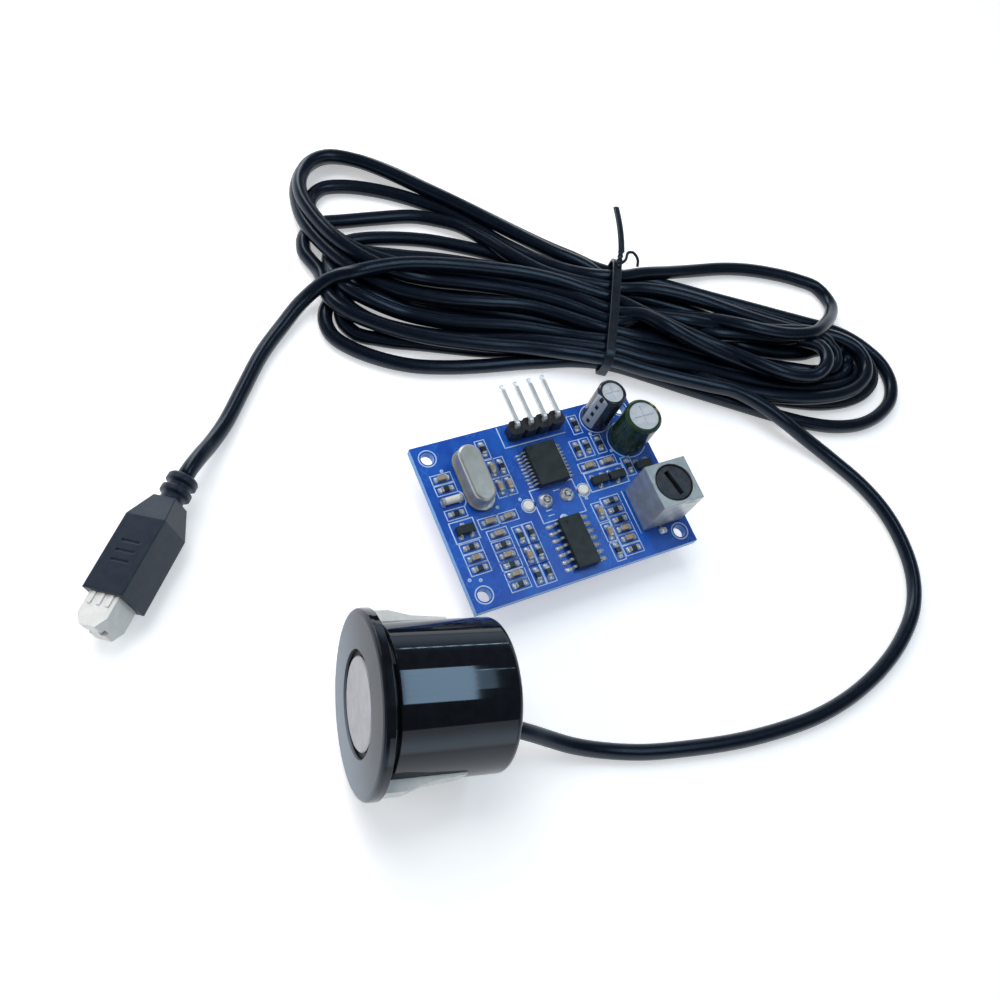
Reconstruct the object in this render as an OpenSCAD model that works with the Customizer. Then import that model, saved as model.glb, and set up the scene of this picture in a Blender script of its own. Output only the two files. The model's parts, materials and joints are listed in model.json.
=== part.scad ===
// Waterproof ultrasonic distance sensor: driver board, round probe, tied cable and plug.
// Origin: centre of the four mounting holes, on the underside of the board. Units: millimetres.
// X runs along the board's long edge, Y towards the pin header, Z up.

/* [Board] */
// Length of the circuit board
board_l = 41; // [40:0.5:60]
// Width of the circuit board
board_w = 29; // [28.5:0.5:45]
// Thickness of the circuit board
board_t = 1.6; // [1:0.1:2]
// Distance between mounting holes along the board
hole_pitch_x = 36.4; // [35:0.1:37]
// Distance between mounting holes across the board
hole_pitch_y = 24.2; // [23:0.1:25]
// Diameter of a mounting hole
hole_d = 2.2; // [1.6:0.1:2.4]

/* [Pin header] */
// Distance between neighbouring pins
pin_pitch = 2.54; // [2.54:0.01:2.54]
// Side of a square pin
pin_w = 0.64; // [0.5:0.01:0.7]
// Height of the plastic strip
header_h = 2.5; // [2:0.1:3]
// How far a pin reaches out past its own hole
pin_reach = 7.5; // [5:0.5:12]

/* [Tuning coil] */
// Side of the square shield can
coil_w = 7.6; // [7.6:0.1:8]
// Height of the shield can above the board
coil_h = 9; // [8.6:0.1:12]
// Diameter of the screw core
core_d = 6.16; // [5.6:0.02:6.2]

/* [Capacitors] */
// Diameter of the small electrolytic capacitor
cap_small_d = 5; // [4:0.1:5.2]
// Diameter of the large electrolytic capacitor
cap_large_d = 6.4; // [5:0.1:6.6]
// Height of the small capacitor above the board
cap_small_h = 8.8; // [7:0.2:12]
// Height of the large capacitor above the board
cap_large_h = 8.2; // [7:0.2:12]

/* [Probe] */
// Diameter of the probe's front flange
flange_d = 26; // [24:0.5:30]
// Diameter of the probe's barrel, for a 22 mm panel hole
barrel_d = 22; // [20:0.5:23]
// Length of the probe from its front face to its rear rim
probe_l = 20; // [18:0.5:30]
// Diameter of the sounding face
face_d = 13; // [12:0.5:14]

/* [Cable] */
// Diameter of the cable
cable_d = 2.6; // [2:0.1:3]
// Thickness of the tied hank
hank_t = 6.5; // [5:0.5:8]

/* [Socket] */
// Height of the socket under the board, which the board rests on
socket_h = 5.5; // [4:0.5:8]
// Distance between the two socket contacts
socket_pitch = 3.96; // [3.96:0.01:3.96]

/* [Hidden] */

eps = 0.01;
fine = 64;
table_z = -socket_h;
cable_z = table_z + cable_d / 2;
lead_below = 1.2;
lead_hole_d = 0.8;

// Pin header: pins stand in one row parallel to the long edge
header_x = 1.27;
header_y = board_w / 2 - 2.05;
pin_gap = 0.03;
pin_hole_d = 1;
pin_top = board_t + header_h + 0.9;
bend_r = 0.7;

// Crystal in its low oval can
crystal_at = [-12.5, 6.4];
crystal_l = 10.2;
crystal_w = 3.9;
crystal_flange = 0.4;
crystal_gap = 0.25;
crystal_h = 3.5;
crystal_lead = 4.88;
blank_size = [0.3, 6.4, 1.5];
blank_z = 1.25;

// Electrolytic capacitors
cap_small_at = [12.9, 11.4];
cap_large_at = [16.7, 6.2];
cap_small_pitch = 2;
cap_large_pitch = 2.5;
cap_lead_d = 0.5;
sleeve_t = 0.12;
bung_h = 1.4;

// Tuning coil
coil_at = [15.7, -6.45];
coil_wall = 0.25;
coil_hole_d = core_d + 0.4;
coil_pin_d = 0.6;
coil_pin_hole_d = 0.9;
coil_lug_w = 1;
coil_lug_hole_d = 1.3;
coil_base_w = 6.8;
coil_base_h = 1.5;
drum_z = board_t + 1.6;
drum_r = 2;
drum_core_r = 1;
drum_flange = 0.6;
winding_h = 1.9;
core_gap = 0.1;
coil_sleeve_in = core_d / 2 + core_gap;
coil_sleeve_out = coil_w / 2 - coil_wall - 0.02;
core_top = board_t + coil_h - 0.2;
coil_pin_spots = [[-2.25, 2.25], [0, 2.25], [2.25, 2.25], [-2.25, -2.25], [2.25, -2.25]];

// Chips: centre on the board, length along Y and width of the body
controller_at = [0.35, 5.5];
controller_l = 7.2;
controller_w = 5.3;
controller_h = 1.75;
controller_span = 7.7;
amplifier_at = [-0.2, -8.7];
amplifier_l = 8.65;
amplifier_w = 3.9;
amplifier_h = 1.6;
amplifier_span = 6.1;

// Three-legged transistors: x, y of the centre, the pair of legs towards +Y or -Y
transistor_spots = [[-17.1, -1.3, -1], [8.35, 0.3, 1], [11.7, 0.3, 1], [17.3, 0.8, 1]];
transistor_size = [2.9, 1.3, 1];

// Chip resistors and capacitors: x, y of the centre, 0 lying along X or 90 along Y
resistor_spots = [
  [-17.3, 6.2, 0], [-17.3, 1.8, 0], [-17.2, -4.2, 0], [-17.2, -7.9, 0],
  [-12.1, -5.4, 0], [-12.1, -8.9, 0], [-12.1, -12.3, 0],
  [-8.75, -4.8, 90], [-6.85, -4.8, 90], [-6.85, -8.3, 90], [-8.75, -11.8, 90], [-6.85, -11.8, 90],
  [-8.7, 11.1, 90], [-6.9, 7.4, 90], [6, -12, 90],
  [8.8, -3.6, 0], [8.8, -5.3, 0], [8.8, -7.1, 0], [8.8, -12.5, 0],
  [8.8, 11.2, 90], [7.2, 6.7, 90], [9.1, 6.7, 90], [11.5, 6.7, 90], [14.8, 1.4, 90]
];
capacitor_spots = [
  [-17.3, 8.1, 0], [-17.2, -6.1, 0], [-12.1, -3.4, 0], [-12.1, -7.2, 0], [-12.1, -10.5, 0],
  [-8.75, -8.3, 90], [-12.7, -1.1, 0], [-9.4, -1.1, 0],
  [-8.6, 7.4, 90], [-8.6, 4, 90], [-6.9, 4, 90],
  [6, -4.9, 90], [6, -8.7, 90], [8.8, -8.8, 0], [8.8, -10.6, 0],
  [7.8, 3.3, 0], [11.4, 3.3, 0]
];
chip_l = 1.6;
chip_w = 0.8;
chip_cap = 0.35;
resistor_t = 0.5;
capacitor_t = 0.8;
diode_at = [-17.3, 4];
diode_l = 3.4;
diode_d = 1.35;
diode_cap = 0.45;

// Probe socket under the board
socket_at = [-0.1, -0.4];
socket_size = [12.4, 6.6];
socket_cavity = [8, 5, 4.2];
peg_pitch = 10.3;
peg_d = 1.9;
contact_w = 0.9;
contact_hole_d = 1.5;
peg_clearance = 0.1;

// Probe: its own axis starts at the front face and runs to the rear
flange_t = 1.6;
neck_d = barrel_d - 1.6;
neck_end = 2.8;
rear_round = 0.9;
probe_turn = -14;
probe_tilt = atan((flange_d - barrel_d) / 2 / (probe_l - rear_round - flange_t));
probe_at = [-43.4, -22.4, table_z + flange_t * sin(probe_tilt) + flange_d / 2 * cos(probe_tilt)];
ring_out = face_d / 2 + 0.9;
cavity_r = barrel_d / 2 - 1.6;
potting_from = 10;
cup_front = 0.95;
cup_wall = 0.8;
face_sunk = 0.15;
pad_from = face_sunk + cup_front + 0.7;
piezo_d = 7;
piezo_t = 0.65;
pad_t = 4.2;
back_dish = 0.6;
clip_w = 4.6;
clip_h = 1.4;
bush_at = [3, -4.5];
bush_d = 4.4;
bush_from = 14;
bush_end = probe_l + 1.5;
wire_d = 0.8;

// Plug at the far end of the cable
plug_at = [-54.6, 20.3];
plug_turn = -132.4;
plug_roll = 28;
plug_w = 7;
plug_h = 6.2;
plug_l = 17;
relief_l = 4.4;
relief_d = 4.8;
relief_groove = 0.6;
insert_w = 5.2;
insert_h = 4.6;
insert_l = 5;
plug_z = table_z + (plug_w * sin(plug_roll) + plug_h * cos(plug_roll)) / 2;

// Twist tie round the middle of the hank
tie_at = [27.2, 32.5];
tie_turn = 60;
tie_span = 25;
tie_w = 1.8;
tie_t = 0.6;
tie_gap = 0.05;

// Free stretches of the cable: x, y and height above the lay on the table
probe_route = [
  [-20, -33.5, 5], [-17, -35.1, 3.2], [-13, -37.4, 1.4], [-8.5, -39.6, 0.3], [-2, -42.3, 0],
  [6, -44.6, 0], [14, -46.4, 0], [22, -47.5, 0], [30, -47.9, 0], [38, -47.1, 0], [46, -45, 0],
  [53, -41.8, 0], [58.7, -37.5, 0], [62.2, -32.2, 0], [63.8, -26, 0], [63.8, -19.5, 0],
  [62, -13, 0], [58.8, -7, 0.2], [54.7, -1.5, 1.2], [51.3, 2.5, 2.4], [48.3, 6.5, 2.8]
];
plug_route = [
  [-51.2, 23.7, 2.4], [-48.8, 26, 1.2], [-45.5, 29.4, 0.3], [-41, 34.8, 0], [-36, 40.6, 0],
  [-31, 45, 0.3], [-26.3, 48.5, 1.2], [-20.8, 50.5, 2.9]
];

// Outline of the tied hank, seen from above
hank_outline = [
  [-21.6, 65], [-21.3, 70], [-20.3, 74.5], [-17.5, 78], [-12, 80], [-6.5, 79], [-1, 75.5], [5, 70],
  [12, 63.5], [19, 57], [26, 50.5], [32.5, 44.8], [38, 42.3], [46, 41.3], [55, 40], [63, 38.3],
  [70, 35.5], [76, 31.8], [79.3, 28], [79.5, 24.5], [77.5, 21], [79, 16], [82, 11], [82.8, 6.5],
  [80.5, 1.5], [76, -1.5], [70, -2.8], [64, -2.5], [58, -0.8], [52, 2.5], [45, 7.5], [39, 12],
  [33, 17], [27, 20.5], [21.5, 22.3], [10, 26], [0, 28], [-10, 30.2], [-17, 33], [-22, 36.5],
  [-25, 41], [-24.8, 44.5], [-22.8, 48], [-22.2, 52], [-23.8, 57], [-23.7, 61]
];

// Open slits between the turns: the two ends and the width halfway
hank_slits = [
  [[-15, 44.2], [0, 36.5], 2], [[-17, 37.2], [-1, 32], 1.8], [[-14, 62.2], [9, 56.2], 2],
  [[-18, 74], [3, 67.5], 2.4], [[46, 36.6], [75, 24.5], 2], [[57, 4], [78, 7], 1.6]
];

// Point on the probe given across, sideways and along its axis
function in_probe(p) =
  let (t = probe_tilt, q = probe_turn)
  let (along = [cos(t) * cos(q), cos(t) * sin(q), -sin(t)])
  let (aside = [-sin(q), cos(q), 0])
  let (down = [-sin(t) * cos(q), -sin(t) * sin(q), -cos(t)])
  probe_at + down * p[0] + aside * p[1] + along * p[2];

// A route point lifted from the lay to its real height
function lay(p) = [p[0], p[1], cable_z + p[2]];
function unit(v) = v / norm(v);
function heading(pts, i) =
  unit(pts[min(i + 1, len(pts) - 1)] - pts[max(i - 1, 0)]);
function ring_point(pts, i, a, r) =
  let (t = heading(pts, i), s = unit(cross(t, [0, 0, 1])), u = cross(s, t))
  pts[i] + r * (cos(a) * s + sin(a) * u);

// Each stretch leaves its seat straight before it bends
straight = 1.6;
probe_cable = concat(
  [for (k = [0, straight]) in_probe([bush_at[0], bush_at[1], bush_end + k])],
  [for (p = probe_route) lay(p)]
);
plug_cable = concat(
  [for (k = [0, straight]) [plug_at[0] - k * cos(plug_turn), plug_at[1] - k * sin(plug_turn), plug_z]],
  [for (p = plug_route) lay(p)]
);

// Round tube of eight sides swept along a list of points
module tube_along(pts, d) {
  sides = 8;
  last = len(pts) - 1;
  rings = [for (i = [0 : last], k = [0 : sides - 1]) ring_point(pts, i, k * 360 / sides, d / 2)];
  walls = [
    for (i = [0 : last - 1], k = [0 : sides - 1])
      [i * sides + k, i * sides + (k + 1) % sides, (i + 1) * sides + (k + 1) % sides, (i + 1) * sides + k]
  ];
  start = [for (k = [sides - 1 : -1 : 0]) k];
  end = [for (k = [0 : sides - 1]) last * sides + k];
  polyhedron(points = rings, faces = concat(walls, [start, end]));
}

// Flat oval: two half circles joined by straight sides
module oval(l, w) {
  square([l - w, w], center = true);
  for (s = [-1, 1]) translate([s * (l - w) / 2, 0]) circle(d = w, $fn = fine);
}

// Chip leg bent down to the board: x outward, z up, width centred on y
module gull_leg(reach, height, width, thick) {
  bend = reach * 0.35;
  drop = reach * 0.5;
  rotate([90, 0, 0]) translate([0, 0, -width / 2]) linear_extrude(width)
    polygon([[0, height], [bend, height], [drop, 0], [reach, 0], [reach, thick],
      [drop + thick, thick], [bend + thick, height + thick], [0, height + thick]]);
}

// Two rows of legs along Y
module leg_rows(count, pitch, body_w, span, height, width, thick) {
  for (side = [0, 180], i = [0 : count - 1])
    rotate(side) translate([body_w / 2, (i - (count - 1) / 2) * pitch, 0])
      gull_leg((span - body_w) / 2, height, width, thick);
}

// Chip body with a round dimple by its first leg
module chip_body(l, w, base, top, dimple) {
  difference() {
    translate([-w / 2, -l / 2, base]) cube([w, l, top - base]);
    translate([-w / 2 + dimple * 1.4, l / 2 - dimple * 1.4, top - 0.08])
      cylinder(h = 1, d = dimple, $fn = 24);
  }
}

// Aluminium can of an electrolytic capacitor, open below, grooved, scored on top
module capacitor_can(d, h) {
  r = d / 2 - sleeve_t;
  wall = 0.2;
  difference() {
    rotate_extrude($fn = fine) polygon([
      [r - wall, 0.2], [r, 0.2], [r, 1.1], [r - 0.2, 1.3], [r - 0.2, 1.6],
      [r, 1.8], [r, h - 0.3], [r - 0.3, h], [0, h], [0, h - wall],
      [r - wall - 0.2, h - wall], [r - wall - 0.2, 1.1], [r - wall, 0.9]
    ]);
    for (a = [0, 90]) rotate(a) translate([-r * 0.6, -0.07, h - 0.08]) cube([r * 1.2, 0.14, 1]);
  }
}

// Printed shrink sleeve over the can, turned in over the top edge
module capacitor_sleeve(d, h) {
  r = d / 2;
  t = sleeve_t;
  rotate_extrude($fn = fine) polygon([
    [r - t, 0.3], [r, 0.3], [r, h - 0.2], [r - 0.35, h + t], [r - 0.65, h + t],
    [r - 0.65, h], [r - 0.3 - t, h], [r - t, h - 0.3]
  ]);
}

module capacitor_bung(d, pitch) {
  difference() {
    translate([0, 0, 0.1]) cylinder(h = bung_h - 0.4, d = d - 2 * sleeve_t - 0.84, $fn = fine);
    twice([pitch, 0, 0]) translate([0, 0, -1]) cylinder(h = 4, d = cap_lead_d, $fn = 24);
  }
}

module capacitor_roll(d, h) {
  translate([0, 0, bung_h]) cylinder(h = h - bung_h - 0.6, d = d - 2 * sleeve_t - 1.2, $fn = fine);
}

module capacitor_leads(pitch) {
  twice([pitch, 0, 0]) translate([0, 0, -board_t - lead_below])
    cylinder(h = board_t + lead_below + bung_h, d = cap_lead_d, $fn = 24);
}

// Chip part lying along X, ends left out for its end caps
module chip_block(t) {
  translate([-chip_l / 2 + chip_cap, -chip_w / 2, 0.05]) cube([chip_l - 2 * chip_cap, chip_w, t - 0.05]);
}

module chip_ends(t) {
  for (s = [0, 180]) rotate(s)
    translate([chip_l / 2 - chip_cap, -chip_w / 2, 0]) cube([chip_cap, chip_w, t + 0.02]);
}

module each_chip(spots) {
  for (p = spots) on_board(p) rotate(p[2]) children();
}

// Collar of solder round a lead, pointing up
module solder_collar(lead_r, foot_r, h) {
  difference() {
    cylinder(h = h, r1 = foot_r, r2 = lead_r + 0.08, $fn = 24);
    translate([0, 0, -eps]) cylinder(h = h + 1, r = lead_r + eps, $fn = 24);
  }
}

// Seat a piece on the board's upper face, or at another height
module on_board(at, z = board_t) {
  translate([at[0], at[1], z]) children();
}

// Two copies, one step apart about the middle
module twice(step) {
  for (s = [-1, 1]) translate(s * step / 2) children();
}

module at_pins() {
  for (i = [-1.5 : 1.5]) translate([header_x + i * pin_pitch, header_y, 0]) children();
}

// Bore through the board
module board_hole(d, facets = 24) {
  translate([0, 0, -1]) cylinder(h = board_t + 2, d = d, $fn = facets);
}

module in_probe_frame() {
  translate(probe_at) rotate([0, 90 + probe_tilt, probe_turn]) children();
}

// Inner wires run from the piezo disc to the bush
module wire_run(d) {
  for (s = [-1, 1]) {
    from = [0.6 * s, -0.6 * s, pad_from - 0.05];
    to = [bush_at[0] + 0.7 * s, bush_at[1] - 0.7 * s, bush_from];
    v = to - from;
    translate(from) rotate([0, acos(v[2] / norm(v)), atan2(v[1], v[0])])
      cylinder(h = norm(v), d = d, $fn = 24);
  }
}

module in_plug_frame() {
  translate([plug_at[0], plug_at[1], plug_z]) rotate([plug_roll, 0, plug_turn]) children();
}

module in_tie_frame() {
  translate([tie_at[0], tie_at[1], table_z]) rotate(tie_turn) children();
}

module circuit_board() {
  color([0.05, 0.25, 0.75]) difference() {
    translate([-board_l / 2, -board_w / 2, 0]) cube([board_l, board_w, board_t]);
    for (x = [-1, 1], y = [-1, 1]) translate([x * hole_pitch_x / 2, y * hole_pitch_y / 2, 0])
      board_hole(hole_d, fine);
    at_pins() board_hole(pin_hole_d);
    on_board(crystal_at, 0) twice([0, crystal_lead, 0]) board_hole(lead_hole_d);
    on_board(cap_small_at, 0) twice([cap_small_pitch, 0, 0]) board_hole(lead_hole_d);
    on_board(cap_large_at, 0) twice([cap_large_pitch, 0, 0]) board_hole(lead_hole_d);
    on_board(coil_at, 0) for (p = coil_pin_spots) translate([p[0], p[1], 0]) board_hole(coil_pin_hole_d);
    on_board(coil_at, 0) twice([0, coil_w - coil_wall, 0]) board_hole(coil_lug_hole_d);
    on_board(socket_at, 0) twice([peg_pitch, 0, 0]) board_hole(peg_d + peg_clearance, fine);
    on_board(socket_at, 0) twice([socket_pitch, 0, 0]) board_hole(contact_hole_d);
  }
}

// Four joined blocks with cut corners
module header_strip() {
  half = pin_pitch / 2;
  c = 0.45;
  bore = pin_w + 2 * pin_gap;
  color([0.05, 0.05, 0.06]) difference() {
    at_pins() translate([0, 0, board_t]) linear_extrude(header_h) polygon([
      [-half, -half + c], [-half + c, -half], [half - c, -half], [half, -half + c],
      [half, half - c], [half - c, half], [-half + c, half], [-half, half - c]
    ]);
    at_pins() translate([-bore / 2, -bore / 2, 0]) cube([bore, bore, board_t + header_h + 1]);
  }
}

// Square pin through the board and strip, bent outwards over the board's edge
module header_pin(i) {
  w = pin_w;
  low = -lead_below;
  arc_z = pin_top + w / 2 - bend_r;
  color([0.85, 0.83, 0.74]) translate([header_x + (i - 2.5) * pin_pitch, header_y, 0]) {
    translate([-w / 2, -w / 2, low]) cube([w, w, arc_z - low]);
    translate([-w / 2, bend_r - w / 2, arc_z]) rotate([0, 90, 0]) rotate([0, 0, 180])
      rotate_extrude(angle = 90, $fn = 32) translate([bend_r - w, 0]) square([w, w]);
    difference() {
      translate([-w / 2, bend_r - w / 2, pin_top - w / 2]) cube([w, pin_reach + w / 2 - bend_r, w]);
      for (a = [0 : 90 : 270]) translate([0, pin_reach, pin_top]) rotate([0, a, 0])
        translate([-w, 0, 0.16]) rotate([14, 0, 0]) translate([0, -0.8, 0.2]) cube([2 * w, 2, w]);
    }
  }
}

module crystal_base() {
  color([0.75, 0.74, 0.7]) on_board(crystal_at, board_t + crystal_gap) difference() {
    linear_extrude(crystal_flange) rotate(90) oval(crystal_l + 0.9, crystal_w + 0.8);
    twice([0, crystal_lead, 0]) translate([0, 0, -1]) cylinder(h = 3, d = 0.6, $fn = 24);
  }
}

module crystal_can() {
  floor_z = board_t + crystal_gap + crystal_flange;
  lid = crystal_h - crystal_gap - crystal_flange;
  color([0.8, 0.78, 0.74]) on_board(crystal_at, floor_z) difference() {
    hull() {
      linear_extrude(lid - 0.4) rotate(90) oval(crystal_l, crystal_w);
      linear_extrude(lid - 0.12) rotate(90) oval(crystal_l - 0.28, crystal_w - 0.28);
      linear_extrude(lid) rotate(90) oval(crystal_l - 0.8, crystal_w - 0.8);
    }
    translate([0, 0, -1]) linear_extrude(lid + 1 - 0.3) rotate(90) oval(crystal_l - 0.6, crystal_w - 0.6);
  }
}

// Quartz strip on edge, held between the ends of the leads
module crystal_blank() {
  color([0.9, 0.95, 0.98]) on_board(crystal_at, board_t + blank_z)
    translate([-blank_size[0] / 2, -blank_size[1] / 2, 0]) cube(blank_size);
}

module crystal_leads() {
  color([0.8, 0.8, 0.8]) on_board(crystal_at, -lead_below) twice([0, crystal_lead, 0])
    cylinder(h = lead_below + board_t + blank_z - eps, d = 0.45, $fn = 24);
}

module small_capacitor_can() {
  color([0.82, 0.82, 0.8]) on_board(cap_small_at) capacitor_can(cap_small_d, cap_small_h);
}

module small_capacitor_sleeve() {
  color([0.05, 0.06, 0.08]) on_board(cap_small_at)
    capacitor_sleeve(cap_small_d, cap_small_h);
}

module small_capacitor_bung() {
  color([0.1, 0.1, 0.1]) on_board(cap_small_at)
    capacitor_bung(cap_small_d, cap_small_pitch);
}

module small_capacitor_roll() {
  color([0.6, 0.55, 0.45]) on_board(cap_small_at) capacitor_roll(cap_small_d, cap_small_h);
}

module small_capacitor_leads() {
  color([0.8, 0.8, 0.8]) on_board(cap_small_at) capacitor_leads(cap_small_pitch);
}

module large_capacitor_can() {
  color([0.85, 0.85, 0.83]) on_board(cap_large_at) capacitor_can(cap_large_d, cap_large_h);
}

module large_capacitor_sleeve() {
  color([0.05, 0.12, 0.1]) on_board(cap_large_at)
    capacitor_sleeve(cap_large_d, cap_large_h);
}

module large_capacitor_bung() {
  color([0.1, 0.1, 0.1]) on_board(cap_large_at)
    capacitor_bung(cap_large_d, cap_large_pitch);
}

module large_capacitor_roll() {
  color([0.6, 0.55, 0.45]) on_board(cap_large_at) capacitor_roll(cap_large_d, cap_large_h);
}

module large_capacitor_leads() {
  color([0.8, 0.8, 0.8]) on_board(cap_large_at) capacitor_leads(cap_large_pitch);
}

// Tinned can, open below, with a round opening for the core and two solder lugs
module coil_can() {
  w = coil_w;
  inner = w - 2 * coil_wall;
  color([0.78, 0.78, 0.76]) on_board(coil_at) {
    difference() {
      translate([-w / 2, -w / 2, 0.15]) cube([w, w, coil_h - 0.15]);
      translate([-inner / 2, -inner / 2, -1]) cube([inner, inner, coil_h + 1 - coil_wall]);
      cylinder(h = coil_h + 2, d = coil_hole_d, $fn = fine);
      translate([0.6, -w / 2 - 1, coil_h - 1]) cube([2, 2, 0.35]);
    }
    for (s = [0, 180]) rotate(s) translate([-coil_lug_w / 2, w / 2 - coil_wall, -board_t - 0.8])
      cube([coil_lug_w, coil_wall, board_t + 0.8 + 0.15]);
  }
}

module coil_base() {
  color([0.12, 0.09, 0.07]) on_board(coil_at) difference() {
    translate([-coil_base_w / 2, -coil_base_w / 2, 0.1]) cube([coil_base_w, coil_base_w, coil_base_h]);
    for (p = coil_pin_spots) translate([p[0], p[1], -1]) cylinder(h = 2.2, d = coil_pin_d, $fn = 24);
  }
}

module coil_pins() {
  color([0.8, 0.8, 0.78]) on_board(coil_at)
    for (p = coil_pin_spots) translate([p[0], p[1], -board_t - lead_below])
      cylinder(h = board_t + lead_below + 1.2, d = coil_pin_d, $fn = 24);
}

// Plastic sleeve that the core screws in
module coil_sleeve() {
  color([0.85, 0.84, 0.8]) on_board(coil_at, drum_z) difference() {
    cylinder(h = board_t + coil_h - coil_wall - 0.05 - drum_z, r = coil_sleeve_out, $fn = fine);
    translate([0, 0, -1]) cylinder(h = coil_h + 2, r = coil_sleeve_in, $fn = fine);
  }
}

module coil_drum() {
  drum_h = winding_h + 0.1 + 2 * drum_flange;
  color([0.2, 0.2, 0.22]) on_board(coil_at, drum_z) {
    cylinder(h = drum_flange, r = drum_r, $fn = fine);
    cylinder(h = drum_h, r = drum_core_r, $fn = fine);
    translate([0, 0, drum_h - drum_flange]) cylinder(h = drum_flange, r = drum_r, $fn = fine);
  }
}

module coil_winding() {
  color([0.72, 0.4, 0.2]) on_board(coil_at, drum_z + drum_flange + 0.05) difference() {
    cylinder(h = winding_h, r = drum_r - 0.2, $fn = fine);
    translate([0, 0, -1]) cylinder(h = winding_h + 2, r = drum_core_r + 0.02, $fn = fine);
  }
}

// Ferrite cup with a screwdriver slot; it turns to tune the coil
module coil_core() {
  r = core_d / 2;
  cup = core_top - board_t - 3.4;
  inner = drum_r + 0.3;
  color([0.16, 0.18, 0.22]) on_board(coil_at, core_top - cup) difference() {
    rotate_extrude($fn = fine) polygon([
      [inner, 0], [r, 0], [r, cup - 0.15], [r - 0.15, cup], [0, cup], [0, cup - 2.2], [inner, cup - 2.2]
    ]);
    rotate(59) translate([-2.2, -0.45, cup - 1.1]) cube([4.4, 0.9, 2]);
  }
}

module controller_chip() {
  color([0.1, 0.12, 0.13]) on_board(controller_at)
    chip_body(controller_l, controller_w, 0.1, controller_h, 0.6);
}

module controller_leads() {
  color([0.8, 0.8, 0.8]) on_board(controller_at)
    leg_rows(10, 0.65, controller_w, controller_span, 0.75, 0.28, 0.15);
}

module amplifier_chip() {
  color([0.1, 0.12, 0.11]) on_board(amplifier_at)
    chip_body(amplifier_l, amplifier_w, 0.15, amplifier_h, 0.7);
}

module amplifier_leads() {
  color([0.8, 0.8, 0.8]) on_board(amplifier_at)
    leg_rows(7, 1.27, amplifier_w, amplifier_span, 0.7, 0.42, 0.2);
}

module transistor_bodies() {
  color([0.08, 0.08, 0.08]) for (p = transistor_spots) on_board(p, board_t + 0.1)
    translate([-transistor_size[0] / 2, -transistor_size[1] / 2, 0]) cube(transistor_size);
}

module transistor_leads() {
  half = transistor_size[1] / 2;
  color([0.8, 0.8, 0.8]) for (p = transistor_spots) on_board(p) rotate(p[2] > 0 ? 0 : 180) {
    translate([0, half, 0]) twice([1.9, 0, 0]) rotate(90) gull_leg(0.6, 0.5, 0.42, 0.13);
    translate([0, -half, 0]) rotate(-90) gull_leg(0.6, 0.5, 0.42, 0.13);
  }
}

module chip_resistors() {
  color([0.08, 0.08, 0.08]) each_chip(resistor_spots) chip_block(resistor_t);
}

module chip_capacitors() {
  color([0.6, 0.5, 0.35]) each_chip(capacitor_spots) chip_block(capacitor_t);
}

module chip_end_caps() {
  color([0.8, 0.8, 0.8]) {
    each_chip(resistor_spots) chip_ends(resistor_t);
    each_chip(capacitor_spots) chip_ends(capacitor_t);
  }
}

module diode_body() {
  color([0.92, 0.9, 0.85]) on_board(diode_at, board_t + diode_d / 2) rotate([0, 90, 0])
    cylinder(h = diode_l - 2 * diode_cap, d = diode_d - 0.1, center = true, $fn = 32);
}

module diode_end_caps() {
  color([0.8, 0.8, 0.8]) on_board(diode_at, board_t + diode_d / 2) for (s = [0, 180])
    rotate(s) translate([diode_l / 2 - diode_cap, 0, 0]) rotate([0, 90, 0])
      cylinder(h = diode_cap, d = diode_d, $fn = 32);
}

// White two-way socket under the board, its pegs show on the upper face
module probe_socket() {
  s = socket_size;
  c = socket_cavity;
  color([0.93, 0.92, 0.88]) translate([socket_at[0], socket_at[1], -socket_h]) {
    difference() {
      translate([-s[0] / 2, -s[1] / 2, 0]) cube([s[0], s[1], socket_h]);
      translate([-c[0] / 2, -c[1] / 2, -1]) cube([c[0], c[1], c[2] + 1]);
      translate([-1.2, -s[1] / 2 - 1, -1]) cube([2.4, 3, c[2] + 1]);
      for (k = [-1, 1]) translate([k * socket_pitch / 2 - contact_w / 2, -contact_w / 2, 0])
        cube([contact_w, contact_w, socket_h + 1]);
    }
    twice([peg_pitch, 0, 0]) translate([0, 0, socket_h]) {
      cylinder(h = board_t + 0.1, d = peg_d, $fn = fine);
      translate([0, 0, board_t + 0.1]) cylinder(h = 0.3, d1 = peg_d, d2 = peg_d - 0.5, $fn = fine);
    }
  }
}

module socket_contacts() {
  w = contact_w - 0.04;
  color([0.85, 0.83, 0.75]) translate([socket_at[0], socket_at[1], -socket_h]) for (k = [-1, 1])
    translate([k * socket_pitch / 2 - w / 2, -w / 2, 0.8]) cube([w, w, socket_h + board_t - 0.8 + 0.8]);
}

module solder_joints() {
  color([0.82, 0.82, 0.82]) {
    on_board(socket_at) twice([socket_pitch, 0, 0]) solder_collar(contact_w / 2 * sqrt(2), 1.35, 0.75);
    mirror([0, 0, 1]) {
      at_pins() solder_collar(pin_w / 2 * sqrt(2), 0.95, 0.8);
      on_board(crystal_at, 0) twice([0, crystal_lead, 0]) solder_collar(0.225, 0.8, 0.7);
      on_board(cap_small_at, 0) twice([cap_small_pitch, 0, 0]) solder_collar(cap_lead_d / 2, 0.8, 0.7);
      on_board(cap_large_at, 0) twice([cap_large_pitch, 0, 0]) solder_collar(cap_lead_d / 2, 0.9, 0.7);
      on_board(coil_at, 0) for (p = coil_pin_spots) translate([p[0], p[1], 0])
        solder_collar(coil_pin_d / 2, 0.8, 0.7);
    }
  }
}

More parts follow.
